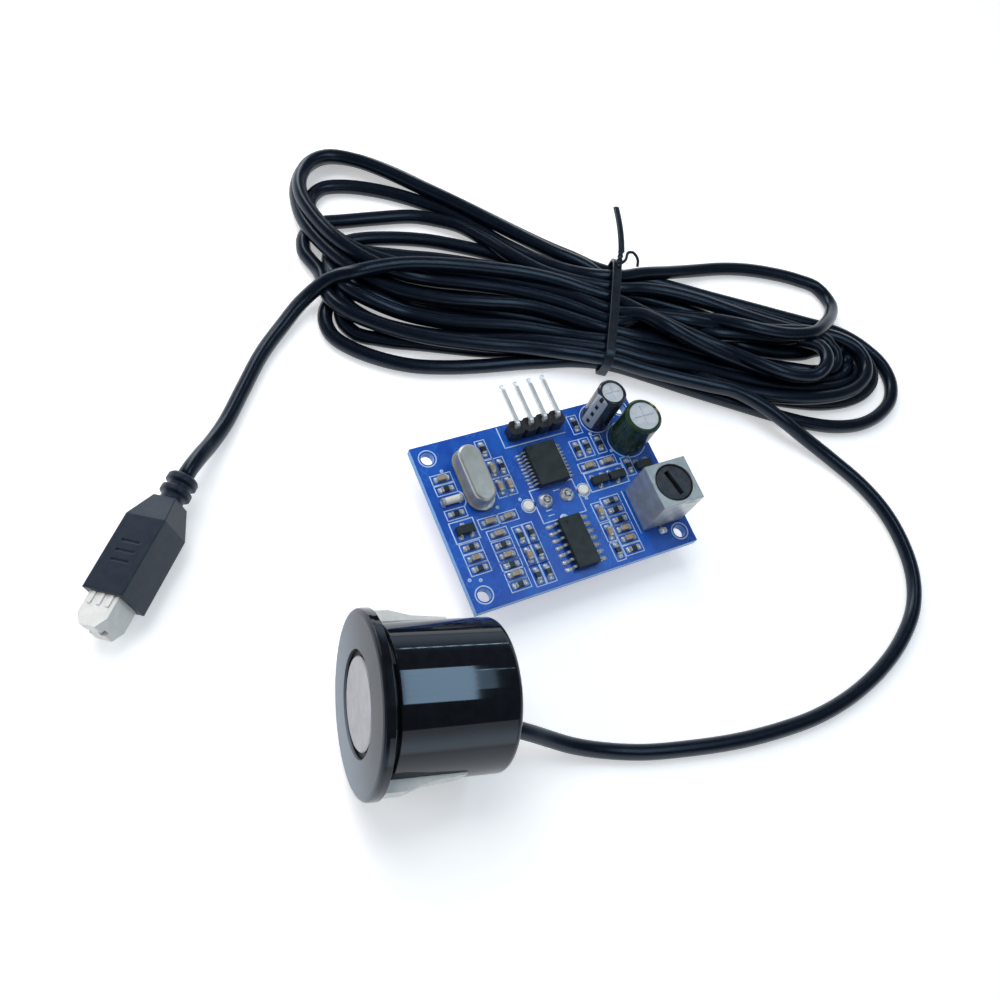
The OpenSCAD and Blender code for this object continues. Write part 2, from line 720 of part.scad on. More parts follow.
// Round housing with a flange, a neck behind it and a rounded rear rim
module probe_housing() {
  f = flange_d / 2;
  b = barrel_d / 2;
  color([0.06, 0.06, 0.07]) in_probe_frame() rotate_extrude($fn = 96) polygon(concat(
    [[ring_out, 0], [f - 0.7, 0], [f - 0.3, 0.12], [f - 0.08, 0.4], [f, 0.8], [f, flange_t],
     [neck_d / 2, flange_t], [neck_d / 2, neck_end], [b - 0.2, neck_end], [b, neck_end + 0.2]],
    [for (a = [0 : 15 : 90])
      [b - rear_round + rear_round * cos(a), probe_l - rear_round + rear_round * sin(a)]],
    [[cavity_r + 0.3, probe_l], [cavity_r, probe_l - 0.3],
     [cavity_r, potting_from - 1], [ring_out, potting_from - 1.6]]
  ));
}

// Pale barbed clip beside the barrel, high at the flange and sloping to the rear
module barrel_clip(side) {
  b = barrel_d / 2;
  color([0.88, 0.88, 0.86]) in_probe_frame() intersection() {
    rotate([90, 0, 90]) translate([0, 0, -clip_w / 2]) linear_extrude(clip_w)
      polygon([
        [side * (b - 1), flange_t + 0.05], [side * (b + clip_h), flange_t + 0.05],
        [side * (b + clip_h), flange_t + 3.6], [side * (b + 0.5), flange_t + 6.8],
        [side * (b + 0.05), flange_t + 12], [side * (b - 1), flange_t + 12]
      ]);
    difference() {
      cylinder(h = probe_l, r = b + 4, $fn = fine);
      translate([0, 0, neck_end]) cylinder(h = probe_l, r = b, $fn = 96);
      cylinder(h = neck_end + 0.001, r = neck_d / 2, $fn = 96);
    }
  }
}

module isolation_ring() {
  color([0.03, 0.03, 0.03]) in_probe_frame() translate([0, 0, 0.7]) difference() {
    cylinder(h = potting_from - 0.7, r = ring_out, $fn = fine);
    translate([0, 0, -1]) cylinder(h = probe_l, d = face_d, $fn = fine);
    translate([0, 0, potting_from - 2.6]) cylinder(h = probe_l, r = ring_out - eps, $fn = fine);
  }
}

// Aluminium cup that rings; its closed end is the sounding face
module transducer_cup() {
  r = face_d / 2;
  rear = potting_from - 2;
  bottom = face_sunk + cup_front;
  color([0.75, 0.77, 0.8]) in_probe_frame() rotate_extrude($fn = fine) polygon([
    [0, face_sunk], [r - 0.2, face_sunk], [r, face_sunk + 0.2], [r, rear],
    [r - cup_wall, rear], [r - cup_wall, bottom], [0, bottom]
  ]);
}

module piezo_disc() {
  color([0.85, 0.82, 0.7]) in_probe_frame() translate([0, 0, face_sunk + cup_front])
    cylinder(h = piezo_t, d = piezo_d, $fn = fine);
}

module damping_pad() {
  color([0.4, 0.4, 0.42]) in_probe_frame() difference() {
    translate([0, 0, pad_from]) cylinder(h = pad_t, r = face_d / 2 - cup_wall - 0.05, $fn = fine);
    wire_run(wire_d + 0.1);
  }
}

module probe_potting() {
  color([0.1, 0.1, 0.11]) in_probe_frame() difference() {
    translate([0, 0, potting_from + 0.02])
      cylinder(h = probe_l - potting_from - back_dish, r = cavity_r - eps, $fn = fine);
    translate([bush_at[0], bush_at[1], bush_from]) cylinder(h = probe_l, d = bush_d, $fn = fine);
    wire_run(wire_d + 0.1);
  }
}

module probe_wires() {
  color([0.7, 0.1, 0.1]) in_probe_frame() difference() {
    wire_run(wire_d);
    translate([0, 0, bush_from]) cylinder(h = probe_l, r = barrel_d, $fn = fine);
    cylinder(h = pad_from - 0.02, r = face_d, $fn = fine);
  }
}

module cable_bush() {
  r = bush_d / 2;
  color([0.05, 0.05, 0.06]) in_probe_frame() translate([bush_at[0], bush_at[1], 0])
    rotate_extrude($fn = fine) polygon([
      [0, bush_from + 0.02], [r - 0.02, bush_from + 0.02], [r - 0.02, probe_l - 0.4],
      [r - 0.3, probe_l + 0.2], [cable_d / 2 + 0.3, bush_end], [0, bush_end]
    ]);
}

module cable_from_probe() {
  color([0.06, 0.07, 0.1]) tube_along(probe_cable, cable_d);
}

// Long four-sided opening between two turns
module slit(a, b, width) {
  middle = (a + b) / 2;
  aside = unit([a[1] - b[1], b[0] - a[0]]) * width / 2;
  polygon([a, middle - aside, b, middle + aside]);
}

// Outer shape of the tied turns, waisted under the tie
module cable_hank() {
  color([0.06, 0.07, 0.1]) difference() {
    translate([0, 0, table_z]) linear_extrude(hank_t) polygon(hank_outline);
    for (s = hank_slits) translate([0, 0, table_z - 1]) linear_extrude(hank_t + 2) slit(s[0], s[1], s[2]);
    in_tie_frame() difference() {
      translate([-tie_span, -tie_w / 2 - 0.2, -1]) cube([2 * tie_span, tie_w + 0.4, hank_t + 2]);
      translate([-tie_span / 2 + tie_t + tie_gap, -2, tie_t + tie_gap])
        cube([tie_span - 2 * tie_t - 2 * tie_gap, 4, hank_t - 2 * tie_t - 2 * tie_gap]);
    }
  }
}

module cable_to_plug() {
  color([0.06, 0.07, 0.1]) tube_along(plug_cable, cable_d);
}

// Flat tie looped round the hank, twisted at the far side, its tail standing off
module twist_tie() {
  inner = [tie_span - 2 * tie_t, 2 * tie_w, hank_t - 2 * tie_t];
  color([0.04, 0.04, 0.05]) in_tie_frame() {
    difference() {
      translate([-tie_span / 2, -tie_w / 2, 0]) cube([tie_span, tie_w, hank_t]);
      translate([-inner[0] / 2, -tie_w, tie_t]) cube(inner);
    }
    knot = [tie_span / 2 + 0.3, 0, hank_t - 0.6];
    crook = knot + [3.4, -0.3, 0.8];
    hull() {
      translate(knot) sphere(d = 1.4, $fn = 16);
      translate(crook) sphere(d = 1, $fn = 16);
    }
    hull() {
      translate(crook) sphere(d = 1, $fn = 16);
      translate(knot + [9.4, 1.6, -0.2]) sphere(d = 0.7, $fn = 16);
    }
  }
}

// Moulded plug body with sloping shoulders, grip lines and a ribbed strain relief
module plug_shell() {
  w = plug_w / 2;
  h = plug_h / 2;
  r = relief_d / 2;
  low = r - relief_groove;
  shoulder = 4.5;
  seat = 3;
  color([0.07, 0.08, 0.1]) in_plug_frame() {
    rotate([0, 90, 0]) rotate_extrude($fn = 32) polygon([
      [0, 0], [r - 0.2, 0], [r, 0.3], [r, 1.1], [low, 1.3], [low, 2.1],
      [r, 2.3], [r, 3.1], [low, 3.3], [low, relief_l + 0.5], [0, relief_l + 0.5]
    ]);
    difference() {
      translate([relief_l, 0, 0]) intersection() {
        translate([0, 0, -h]) linear_extrude(plug_h)
          polygon([[0, -2], [shoulder, -w], [plug_l, -w], [plug_l, w], [shoulder, w], [0, 2]]);
        rotate([90, 0, 0]) translate([0, 0, -w - 1]) linear_extrude(plug_w + 2)
          polygon([[0, -1.8], [shoulder, -h], [plug_l, -h], [plug_l, h], [shoulder, h], [0, 1.8]]);
      }
      translate([relief_l + plug_l - seat, -insert_w / 2 - 0.05, -insert_h / 2 - 0.05])
        cube([seat + 2, insert_w + 0.1, insert_h + 0.1]);
      for (z = [-h, h], k = [0 : 2]) translate([relief_l + 8.6 + k * 1.6, -1.6, z - 0.15])
        cube([0.4, 3.2, 0.3]);
    }
  }
}

// White connector nose with a chamfered tip and three ribs on each broad face
module plug_insert() {
  w = insert_w / 2;
  back = relief_l + plug_l - 2.95;
  tip = relief_l + plug_l + insert_l;
  color([0.93, 0.92, 0.87]) in_plug_frame() {
    difference() {
      translate([0, 0, -insert_h / 2]) linear_extrude(insert_h)
        polygon([[back, -w], [tip - 1.6, -w], [tip, -w + 1.2], [tip, w - 1.2], [tip - 1.6, w], [back, w]]);
      for (s = [-1, 1]) translate([tip - 4.5, s * 1.25 - 0.5, -0.5]) cube([6, 1, 1]);
    }
    for (z = [-1, 1], k = [-1 : 1])
      translate([relief_l + plug_l + 0.02, k * 1.6 - 0.3, z * insert_h / 2 - 0.25]) cube([1.8, 0.6, 0.5]);
  }
}

module plug_contacts() {
  tip = relief_l + plug_l + insert_l;
  color([0.8, 0.72, 0.5]) in_plug_frame() for (s = [-1, 1])
    translate([tip - 4.45, s * 1.25 - 0.45, -0.45]) difference() {
      cube([3.6, 0.9, 0.9]);
      translate([0.4, 0.15, 0.15]) cube([5, 0.6, 0.6]);
    }
}

circuit_board();
header_strip();
header_pin(1);  // header_pin_1
header_pin(2);  // header_pin_2
header_pin(3);  // header_pin_3
header_pin(4);  // header_pin_4
crystal_base();
crystal_can();
crystal_blank();
crystal_leads();
small_capacitor_can();
small_capacitor_sleeve();
small_capacitor_bung();
small_capacitor_roll();
small_capacitor_leads();
large_capacitor_can();
large_capacitor_sleeve();
large_capacitor_bung();
large_capacitor_roll();
large_capacitor_leads();
coil_can();
coil_base();
coil_pins();
coil_sleeve();
coil_drum();
coil_winding();
coil_core();
controller_chip();
controller_leads();
amplifier_chip();
amplifier_leads();
transistor_bodies();
transistor_leads();
chip_resistors();
chip_capacitors();
chip_end_caps();
diode_body();
diode_end_caps();
probe_socket();
socket_contacts();
solder_joints();
probe_housing();
barrel_clip(1);  // barrel_clip_left
barrel_clip(-1);  // barrel_clip_right
isolation_ring();
transducer_cup();
piezo_disc();
damping_pad();
probe_potting();
probe_wires();
cable_bush();
cable_from_probe();
cable_hank();
cable_to_plug();
twist_tie();
plug_shell();
plug_insert();
plug_contacts();
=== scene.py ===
import json
import math
import bmesh
import bpy
import numpy as np
from mathutils import Matrix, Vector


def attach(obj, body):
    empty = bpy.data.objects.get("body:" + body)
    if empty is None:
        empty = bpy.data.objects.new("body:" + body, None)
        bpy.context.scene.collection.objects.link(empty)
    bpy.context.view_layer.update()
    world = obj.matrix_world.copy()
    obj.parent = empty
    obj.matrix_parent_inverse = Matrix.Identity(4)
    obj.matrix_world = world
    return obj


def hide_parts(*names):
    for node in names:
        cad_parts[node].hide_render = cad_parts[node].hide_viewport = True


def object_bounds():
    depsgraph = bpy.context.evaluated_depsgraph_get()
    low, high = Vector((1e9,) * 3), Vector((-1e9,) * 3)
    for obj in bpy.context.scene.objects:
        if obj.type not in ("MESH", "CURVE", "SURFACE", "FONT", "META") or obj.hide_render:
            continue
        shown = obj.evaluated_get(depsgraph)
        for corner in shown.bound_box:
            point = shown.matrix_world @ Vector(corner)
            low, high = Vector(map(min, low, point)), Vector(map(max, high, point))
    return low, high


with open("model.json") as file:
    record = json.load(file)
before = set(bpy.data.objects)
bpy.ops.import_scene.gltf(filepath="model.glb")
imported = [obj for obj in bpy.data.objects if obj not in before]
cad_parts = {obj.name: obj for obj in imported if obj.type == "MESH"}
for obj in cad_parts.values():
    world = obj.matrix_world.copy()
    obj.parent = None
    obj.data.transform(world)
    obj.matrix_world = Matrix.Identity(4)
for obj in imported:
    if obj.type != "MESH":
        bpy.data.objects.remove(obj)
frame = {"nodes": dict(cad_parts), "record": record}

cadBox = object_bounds()
mm = 0.001
tableHeight = cadBox[0].z
print("frame loaded,", len(frame["nodes"]), "nodes")

# Camera as the photograph has it, in millimetres of the board's frame
cameraView = {
    "place": (-70.303, -46.515, 142.075),
    "forward": (0.379, 0.302, -0.875),
    "right": (0.889, -0.383, 0.253),
    "lens": 36.0,
    "sensor": 36.0,
    "clip": (0.005, 10),
}


# Vector or rows of vectors, each divided by its own length
def unit(v):
    v = np.asarray(v, float)
    return v / np.linalg.norm(v, axis=-1, keepdims=True)


# New object of the scene that carries the data
def placed(name, data):
    item = bpy.data.objects.new(name, data)
    bpy.context.scene.collection.objects.link(item)
    return item


# Object turned so that its own axes lie along the three directions, and moved to a place in millimetres
def turnTo(item, directions, place):
    turn = Matrix([list(row) for row in np.stack(directions, axis=1)]).to_4x4()
    turn.translation = [c * mm for c in place]
    item.matrix_world = turn


# Camera at its place, its right side made square to the line of sight and its up side square to both
def addCamera(view):
    forward = unit(view["forward"])
    right = unit(view["right"] - forward * np.dot(view["right"], forward))
    up = np.cross(right, forward)
    data = bpy.data.cameras.new("camera")
    data.lens = view["lens"]
    data.sensor_width = view["sensor"]
    data.clip_start, data.clip_end = view["clip"]
    camera = placed("camera", data)
    turnTo(camera, (right, up, -forward), view["place"])
    bpy.context.scene.camera = camera


addCamera(cameraView)
bpy.context.scene.view_settings.view_transform = "Standard"


# A shader socket that takes arithmetic: each operation adds one Math node
class Field:
    def __init__(self, finish, socket):
        self.finish = finish
        self.socket = socket

    def work(self, operation, *values):
        return self.finish.node("Math", {"operation": operation}, dict(enumerate(values)))

    def __add__(self, other):
        return self.work("ADD", self, other)

    def __sub__(self, other):
        return self.work("SUBTRACT", self, other)

    def __rsub__(self, other):
        return self.work("SUBTRACT", other, self)

    def __mul__(self, other):
        return self.work("MULTIPLY", self, other)

    def __truediv__(self, other):
        return self.work("DIVIDE", self, other)

    def __abs__(self):
        return self.work("ABSOLUTE", self)

    def __lt__(self, other):
        return self.work("LESS_THAN", self, other)

    def __gt__(self, other):
        return self.work("GREATER_THAN", self, other)


# One material: node() adds any node, its settings first and then its sockets' values or links
class Finish:
    def __init__(self, name, owner=None):
        self.material = owner or bpy.data.materials.new(name)
        self.material.use_nodes = True
        self.tree = self.material.node_tree
        self.tree.nodes.clear()

    def node(self, kind, settings=None, sockets=None, out=0):
        made = self.tree.nodes.new("ShaderNode" + kind)
        for key, value in (settings or {}).items():
            setattr(made, key, value)
        for key, value in (sockets or {}).items():
            if isinstance(value, Field):
                self.tree.links.new(value.socket, made.inputs[key])
            else:
                made.inputs[key].default_value = value
        return Field(self, made.outputs[out]) if len(made.outputs) else None

    # Object coordinates in millimetres
    def place(self):
        at = self.node("TexCoord", out="Object")
        return self.node("VectorMath", {"operation": "SCALE"}, {0: at, "Scale": 1 / mm})

    # The three components of a vector, each as a field of its own
    def axes(self, vector):
        return [self.node("SeparateXYZ", sockets={0: vector}, out=k) for k in range(3)]

    # Cloudy noise from 0 to 1 with the given number of waves a millimetre
    def noise(self, at, scale):
        return self.node("TexNoise", {}, {"Vector": at, "Scale": scale, "Detail": 3.0, "Roughness": 0.55})

    # 0 below low, 1 above high, smooth between
    def ramp(self, value, low, high):
        ends = {"Value": value, "From Min": low, "From Max": high}
        return self.node("MapRange", {"interpolation_type": "SMOOTHSTEP"}, ends)

    # First colour at share 0, second at 1
    def blend(self, share, first, second):
        first, second = [c if isinstance(c, Field) else (*c[:3], 1) for c in (first, second)]
        return self.node("Mix", {"data_type": "RGBA"}, {0: share, 6: first, 7: second}, out=2)

    # Colour that drifts from one tone to the other where a cloud of noise passes its middle
    def drift(self, cloud, first, second, low=0.35, high=0.65):
        return self.blend(self.ramp(cloud, low, high), first, second)

    # Normal from small bumps on edges that look rounded by the given radius in millimetres
    def relief(self, height=None, depth=0.1, edge=0.0):
        normal = None
        if edge:
            normal = self.node("Bevel", {"samples": 6}, {"Radius": edge * mm})
        if height is None:
            return normal
        sockets = {"Height": height, "Strength": 1.0, "Distance": depth * mm}
        if normal is not None:
            sockets["Normal"] = normal
        return self.node("Bump", {}, sockets)

    # The surface itself; further sockets are named in lower case with underscores
    def cover(self, color, roughness, normal=None, **sockets):
        sockets = {key.replace("_", " ").title(): value for key, value in sockets.items()}
        sockets["Base Color"] = color if isinstance(color, Field) else (*color, 1)
        sockets["Roughness"] = roughness
        if normal is not None:
            sockets["Normal"] = normal
        shader = self.node("BsdfPrincipled", {}, sockets)
        self.node("OutputMaterial", {}, {"Surface": shader})
        return self.material


# Uneven paint or plastic: colour drifts between two tones in clouds of a quarter of the grain's waves a
# millimetre, and specks of four times as many vary gloss and relief
def plainFinish(name, tone, second, rough, grain=3.0, depth=0.01, edge=0.12, spread=0.06, **sockets):
    finish = Finish(name)
    at = finish.place()
    cloud = finish.noise(at, grain * 0.25)
    speck = finish.noise(at, grain * 4)
    color = finish.drift(cloud, tone, second)
    shine = (speck - 0.5) * spread + rough
    return finish.cover(color, shine, finish.relief(speck, depth, edge), **sockets)


# Metal with fine lines along Y: noise drawn out to about seven times its width varies gloss and relief
def metalFinish(name, tone, second, rough, scratch=8.0, depth=0.004, edge=0.1, spread=0.12, metallic=1.0):
    finish = Finish(name)
    at = finish.place()
    cloud = finish.noise(at, 0.6)
    drawn = finish.node("VectorMath", {"operation": "MULTIPLY"}, {0: at, 1: (1, 0.15, 1)})
    line = finish.noise(drawn, scratch)
    color = finish.drift(cloud, tone, second, 0.3, 0.7)
    shine = (line - 0.5) * spread + rough
    return finish.cover(color, shine, finish.relief(line, depth, edge), metallic=metallic)


# Blue lacquer over copper: tracks show as a lighter blue where square cells have their rims, and the
# cut edges, above the lacquer's start on the side and at the very bottom, are paler
lacquer = {
    "tones": ((0.003, 0.055, 0.36), (0.006, 0.09, 0.46)),
    "track": (0.02, 0.18, 0.68),
    "trackShare": 0.45,
    "cell": 0.42,
    "rim": (0.42, 0.03, 0.06),
    "edge": (0.05, 0.3, 0.72),
    "edgeHeights": (1.52, 1.57, 0.02),
    "cloud": 0.22,
    "speck": 6,
    "rough": 0.3,
    "spread": 0.1,
    "depth": 0.03,
    "rounding": 0.08,
}


def boardFinish(part):
    finish = Finish("solder_mask")
    at = finish.place()
    height = finish.axes(at)[2]
    cloud = finish.noise(at, part["cloud"])
    squares = finish.node("TexVoronoi", {"distance": "MANHATTAN"}, {"Vector": at, "Scale": part["cell"]})
    middle, near, far = part["rim"]
    bare = 1 - finish.ramp(abs(squares - middle), near, far)
    speck = finish.noise(at, part["speck"])
    blue = finish.drift(cloud, *part["tones"])
    blue = finish.blend(bare * part["trackShare"], blue, part["track"])
    low, high, bottom = part["edgeHeights"]
    side = finish.ramp(height, low, high) + (height < bottom)
    color = finish.blend(side, part["edge"], blue)
    shine = (speck - 0.5) * part["spread"] + part["rough"]
    return finish.cover(color, shine, finish.relief(bare * 0.5 + speck * 0.5, part["depth"], part["rounding"]))


# Shrunk sleeve: the stripe lies where the way from the capacitor's axis points towards one side, broken
# by a dark mark of the given half width for a part of every pitch of height
sleeves = {
    "small": {
        "name": "black_sleeve", "at": (12.9, 11.4), "radius": 2.5, "toward": (-0.95, -0.3), "from": 0.86,
        "tone": (0.01, 0.012, 0.02), "second": (0.02, 0.024, 0.035), "stripe": (0.36, 0.4, 0.46),
    },
    "large": {
        "name": "green_sleeve", "at": (16.7, 6.2), "radius": 3.2, "toward": (0.92, 0.38), "from": 0.8,
        "tone": (0.01, 0.03, 0.016), "second": (0.025, 0.05, 0.02), "stripe": (0.4, 0.38, 0.06),
    },
}
stripeMark = {"half": 0.32, "pitch": 2.2, "from": 0.3, "to": 0.75, "soft": 0.03}
shrunk = {"cloud": 0.7, "rough": 0.2, "spread": 0.1, "depth": 0.02, "rounding": 0.2}


def sleeveFinish(part):
    finish = Finish(part["name"])
    at = finish.place()
    x, y, z = finish.axes(at)
    x, y = x - part["at"][0], y - part["at"][1]
    toward = unit(part["toward"])
    share = (x * toward[0] + y * toward[1]) / part["radius"]
    aside = abs(x * toward[1] - y * toward[0])
    step = finish.node("Math", {"operation": "FRACT"}, {0: z / stripeMark["pitch"]})
    mark = (aside < stripeMark["half"]) * (step > stripeMark["from"]) * (step < stripeMark["to"])
    stripe = finish.ramp(share, part["from"], part["from"] + stripeMark["soft"]) * (1 - mark)
    cloud = finish.noise(at, shrunk["cloud"])
    color = finish.blend(stripe, finish.drift(cloud, part["tone"], part["second"]), part["stripe"])
    shine = (cloud - 0.5) * shrunk["spread"] + shrunk["rough"]
    return finish.cover(color, shine, finish.relief(cloud, shrunk["depth"], shrunk["rounding"]))


# Polished black barrel; the flange's face, known by its way along the probe's axis, is satin, and a painted
# reflection of the floor makes it lighter towards its lower edge
shell = {
    "at": (-43.4, -22.4, 7.6),
    "along": (0.964, -0.24, -0.1135),
    "tones": ((0.004, 0.005, 0.007), (0.006, 0.007, 0.01)),
    "face": (0.25, 0.5),
    # height band and tone of the painted floor reflection on the face's lower part
    "paintedSheenHeights": (-5, 19),
    "paintedSheenTone": (0.2, 0.235, 0.28),
    "satin": 0.35,
    "cloud": 0.75,
    "speck": 12,
    "rough": 0.05,
    "spread": 0.02,
    "rounding": 0.12,
    "tint": (0.78, 0.88, 1, 1),
}


def probeFinish(part):
    finish = Finish("probe_black")
    at = finish.place()
    x, y, z = finish.axes(at)
    a, b, c = part["along"]
    inward = x * a + y * b + z * c - float(np.dot(part["at"], part["along"]))
    face = 1 - finish.ramp(inward, *part["face"])
    # share of painted floor reflection: 1 at the bottom of the face, fading to 0 at its top
    low = 1 - finish.ramp(z, *part["paintedSheenHeights"])
    speck = finish.noise(at, part["speck"])
    color = finish.drift(finish.noise(at, part["cloud"]), *part["tones"])
    # the face's colour blends towards the painted reflection tone by that share
    color = finish.blend(face * low, color, part["paintedSheenTone"])
    shine = (speck - 0.5) * part["spread"] + part["rough"] + face * part["satin"]
    return finish.cover(color, shine, finish.relief(edge=part["rounding"]), specular_tint=part["tint"])


# A plain finish by its name, two tones, gloss and, where it needs them, further settings
plainTones = [
    ("black_moulding", (0.012, 0.012, 0.014), (0.02, 0.02, 0.022), 0.42, {}),
    ("quartz", (0.8, 0.85, 0.88), (0.7, 0.76, 0.8), 0.1, {}),
    ("silk_print", (0.5, 0.62, 0.8), (0.42, 0.56, 0.78), 0.5, {"edge": 0}),
    ("rubber", (0.01, 0.01, 0.01), (0.018, 0.018, 0.018), 0.6, {}),
    ("wound_foil", (0.4, 0.36, 0.28), (0.32, 0.28, 0.22), 0.5, {}),
    ("coil_plastic", (0.03, 0.025, 0.02), (0.045, 0.035, 0.03), 0.45, {}),
    ("ferrite", (0.02, 0.024, 0.032), (0.035, 0.04, 0.05), 0.45, {}),
    ("chip_moulding", (0.01, 0.014, 0.014), (0.017, 0.023, 0.022), 0.42, {}),
    ("chip_ceramic", (0.3, 0.22, 0.13), (0.38, 0.28, 0.18), 0.4, {}),
    ("resistor_coat", (0.012, 0.012, 0.014), (0.02, 0.02, 0.022), 0.3, {}),
    ("diode_glass", (0.62, 0.6, 0.55), (0.68, 0.64, 0.58), 0.2, {}),
    ("white_nylon", (0.78, 0.77, 0.73), (0.72, 0.71, 0.68), 0.38, {}),
    ("piezo_ceramic", (0.6, 0.55, 0.42), (0.5, 0.46, 0.36), 0.5, {}),
    ("foam", (0.12, 0.12, 0.13), (0.18, 0.18, 0.19), 0.8, {}),
    ("potting", (0.01, 0.01, 0.011), (0.02, 0.02, 0.02), 0.35, {}),
    ("wire_cover", (0.4, 0.02, 0.02), (0.34, 0.02, 0.02), 0.4, {}),
    ("cable_cover", (0.0015, 0.003, 0.008), (0.003, 0.005, 0.011), 0.28,
     {"depth": 0.006, "edge": 0, "specular_tint": (0.72, 0.84, 1, 1)}),
    ("tie_cover", (0.008, 0.01, 0.014), (0.013, 0.016, 0.022), 0.3,
     {"edge": 0, "specular_tint": (0.75, 0.86, 1, 1)}),
    ("plug_moulding", (0.007, 0.011, 0.019), (0.011, 0.016, 0.026), 0.42,
     {"edge": 0.3, "specular_tint": (0.72, 0.84, 1, 1)}),
]
metalTones = [
    ("pin_metal", (0.82, 0.83, 0.81), (0.7, 0.71, 0.69), 0.3, {"metallic": 0.6}),
    ("crystal_metal", (0.64, 0.62, 0.57), (0.56, 0.54, 0.49), 0.36, {"metallic": 0.8}),
    ("can_aluminium", (0.68, 0.7, 0.73), (0.56, 0.58, 0.61), 0.5, {"metallic": 0.35}),
    ("tinned_metal", (0.56, 0.58, 0.57), (0.44, 0.46, 0.46), 0.4,
     {"scratch": 3.0, "depth": 0.01, "edge": 0.25, "metallic": 0.75}),
    ("copper_wire", (0.7, 0.3, 0.14), (0.6, 0.24, 0.1), 0.35, {}),
    ("solder", (0.86, 0.87, 0.88), (0.7, 0.71, 0.72), 0.28,
     {"scratch": 2.0, "depth": 0.05, "edge": 0.5, "metallic": 0.7}),
    ("face_metal", (0.42, 0.42, 0.44), (0.36, 0.36, 0.38), 0.45, {}),
    ("contact_metal", (0.8, 0.62, 0.3), (0.7, 0.55, 0.28), 0.3, {}),
]
finishes = {"solder_mask": boardFinish(lacquer), "probe_black": probeFinish(shell)}
for part in sleeves.values():
    finishes[part["name"]] = sleeveFinish(part)
for makeFinish, rows in ((plainFinish, plainTones), (metalFinish, metalTones)):
    for name, tone, second, rough, more in rows:
        finishes[name] = makeFinish(name, tone, second, rough, **more)


# Every CAD node gets the finish that the record names for it
def dressNodes(record):
    for row in record["subparts"]:
        item = frame["nodes"][row["node"]]
        item.data.materials.clear()
        item.data.materials.append(finishes[row["material_slot"]])


dressNodes(frame["record"])
print("finishes made:", len(finishes))


# New surface from a grid of points (rows, columns, 3): each row a ring, joined to the next by quads,
# with flat caps at the two ends if capped is set
def gridSurface(name, points, slot, capped=True):
    rows, columns = points.shape[:2]
    index = np.arange(rows * columns).reshape(rows, columns)
    across = np.roll(index, -1, axis=1)
    quads = np.stack([index[:-1], across[:-1], across[1:], index[1:]], axis=-1).reshape(-1, 4).tolist()
    caps = [index[0, ::-1].tolist(), index[-1].tolist()] if capped else []
    return addPiece(name, points.reshape(-1, 3).tolist(), quads + caps, slot)


# Smooth piece of the module from its points in metres and its faces; the print has no slot in the record
def addPiece(name, points, faces, slot):
    mesh = bpy.data.meshes.new(name)
    mesh.from_pydata(points, [], faces)
    mesh.update()
    for polygon in mesh.polygons:
        polygon.use_smooth = True
    item = placed(name, mesh)
    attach(item, "module")
    mesh.materials.append(finishes[slot])
    return item


# Centripetal spline: knots lie the square root of each gap apart, and each span blends its four
# neighbouring points by the pyramid of straight blends over those knots
def splineThrough(points, step):
    p = np.asarray(points, float)
    p = np.vstack([2 * p[0] - p[1], p, 2 * p[-1] - p[-2]])
    knots = np.concatenate([[0], np.cumsum(np.sqrt(np.linalg.norm(np.diff(p, axis=0), axis=1)))])
    fine = []
    for k in range(1, len(p) - 2):
        t = np.linspace(knots[k], knots[k + 1], 24, endpoint=False)[:, None]
        t0, t1, t2, t3 = knots[k - 1:k + 3]
        a1 = (t1 - t) / (t1 - t0) * p[k - 1] + (t - t0) / (t1 - t0) * p[k]
        a2 = (t2 - t) / (t2 - t1) * p[k] + (t - t1) / (t2 - t1) * p[k + 1]
        a3 = (t3 - t) / (t3 - t2) * p[k + 1] + (t - t2) / (t3 - t2) * p[k + 2]
        b1 = (t2 - t) / (t2 - t0) * a1 + (t - t0) / (t2 - t0) * a2
        b2 = (t3 - t) / (t3 - t1) * a2 + (t - t1) / (t3 - t1) * a3
        fine.append((t2 - t) / (t2 - t1) * b1 + (t - t1) / (t2 - t1) * b2)
    return evenly(np.vstack(fine + [p[-2:-1]]), step)


# Points at equal ways along a line, as near the step as a whole number of them allows
def evenly(line, step):
    run = np.concatenate([[0], np.cumsum(np.linalg.norm(np.diff(line, axis=0), axis=1))])
    count = max(2, int(round(run[-1] / step)) + 1)
    at = np.linspace(0, run[-1], count)
    return np.stack([np.interp(at, run, line[:, k]) for k in range(3)], axis=1)


# Sum of the gaps between neighbouring points
def lineLength(line):
    return float(np.linalg.norm(np.diff(line, axis=0), axis=1).sum())


# Ring of a profile (columns, 2) carried along a line: first value sideways, second upwards
def carried(line, profile):
    ahead = unit(np.gradient(line, axis=0))
    side = unit(np.cross(ahead, [0, 0, 1]))
    up = np.cross(side, ahead)
    return line[:, None] + profile[None, :, :1] * side[:, None] + profile[None, :, 1:] * up[:, None]


# Cosine and sine of equal turns, times the radius
def circleProfile(diameter, sides):
    turn = np.linspace(0, 2 * math.pi, sides, endpoint=False)
    return np.stack([np.cos(turn), np.sin(turn)], axis=1) * diameter / 2


# Separate lumps of a CAD node, as arrays of corner points in millimetres: each point takes the lowest
# label of the points that its edges lead to, until no label changes
def lumps(name):
    data = frame["nodes"][name].data
    at = np.empty(len(data.vertices) * 3)
    data.vertices.foreach_get("co", at)
    spots, same = np.unique((at.reshape(-1, 3) / mm).round(4), axis=0, return_inverse=True)
    ends = np.empty(len(data.edges) * 2, int)
    data.edges.foreach_get("vertices", ends)
    a, b = same.ravel()[ends.reshape(-1, 2)].T
    label = np.arange(len(spots))
    while True:
        low = np.minimum(label[a], label[b])
        fresh = label.copy()
        np.minimum.at(fresh, a, low)
        np.minimum.at(fresh, b, low)
        fresh = fresh[fresh]
        if (fresh == label).all():
            return [spots[label == k] for k in np.unique(label)]
        label = fresh


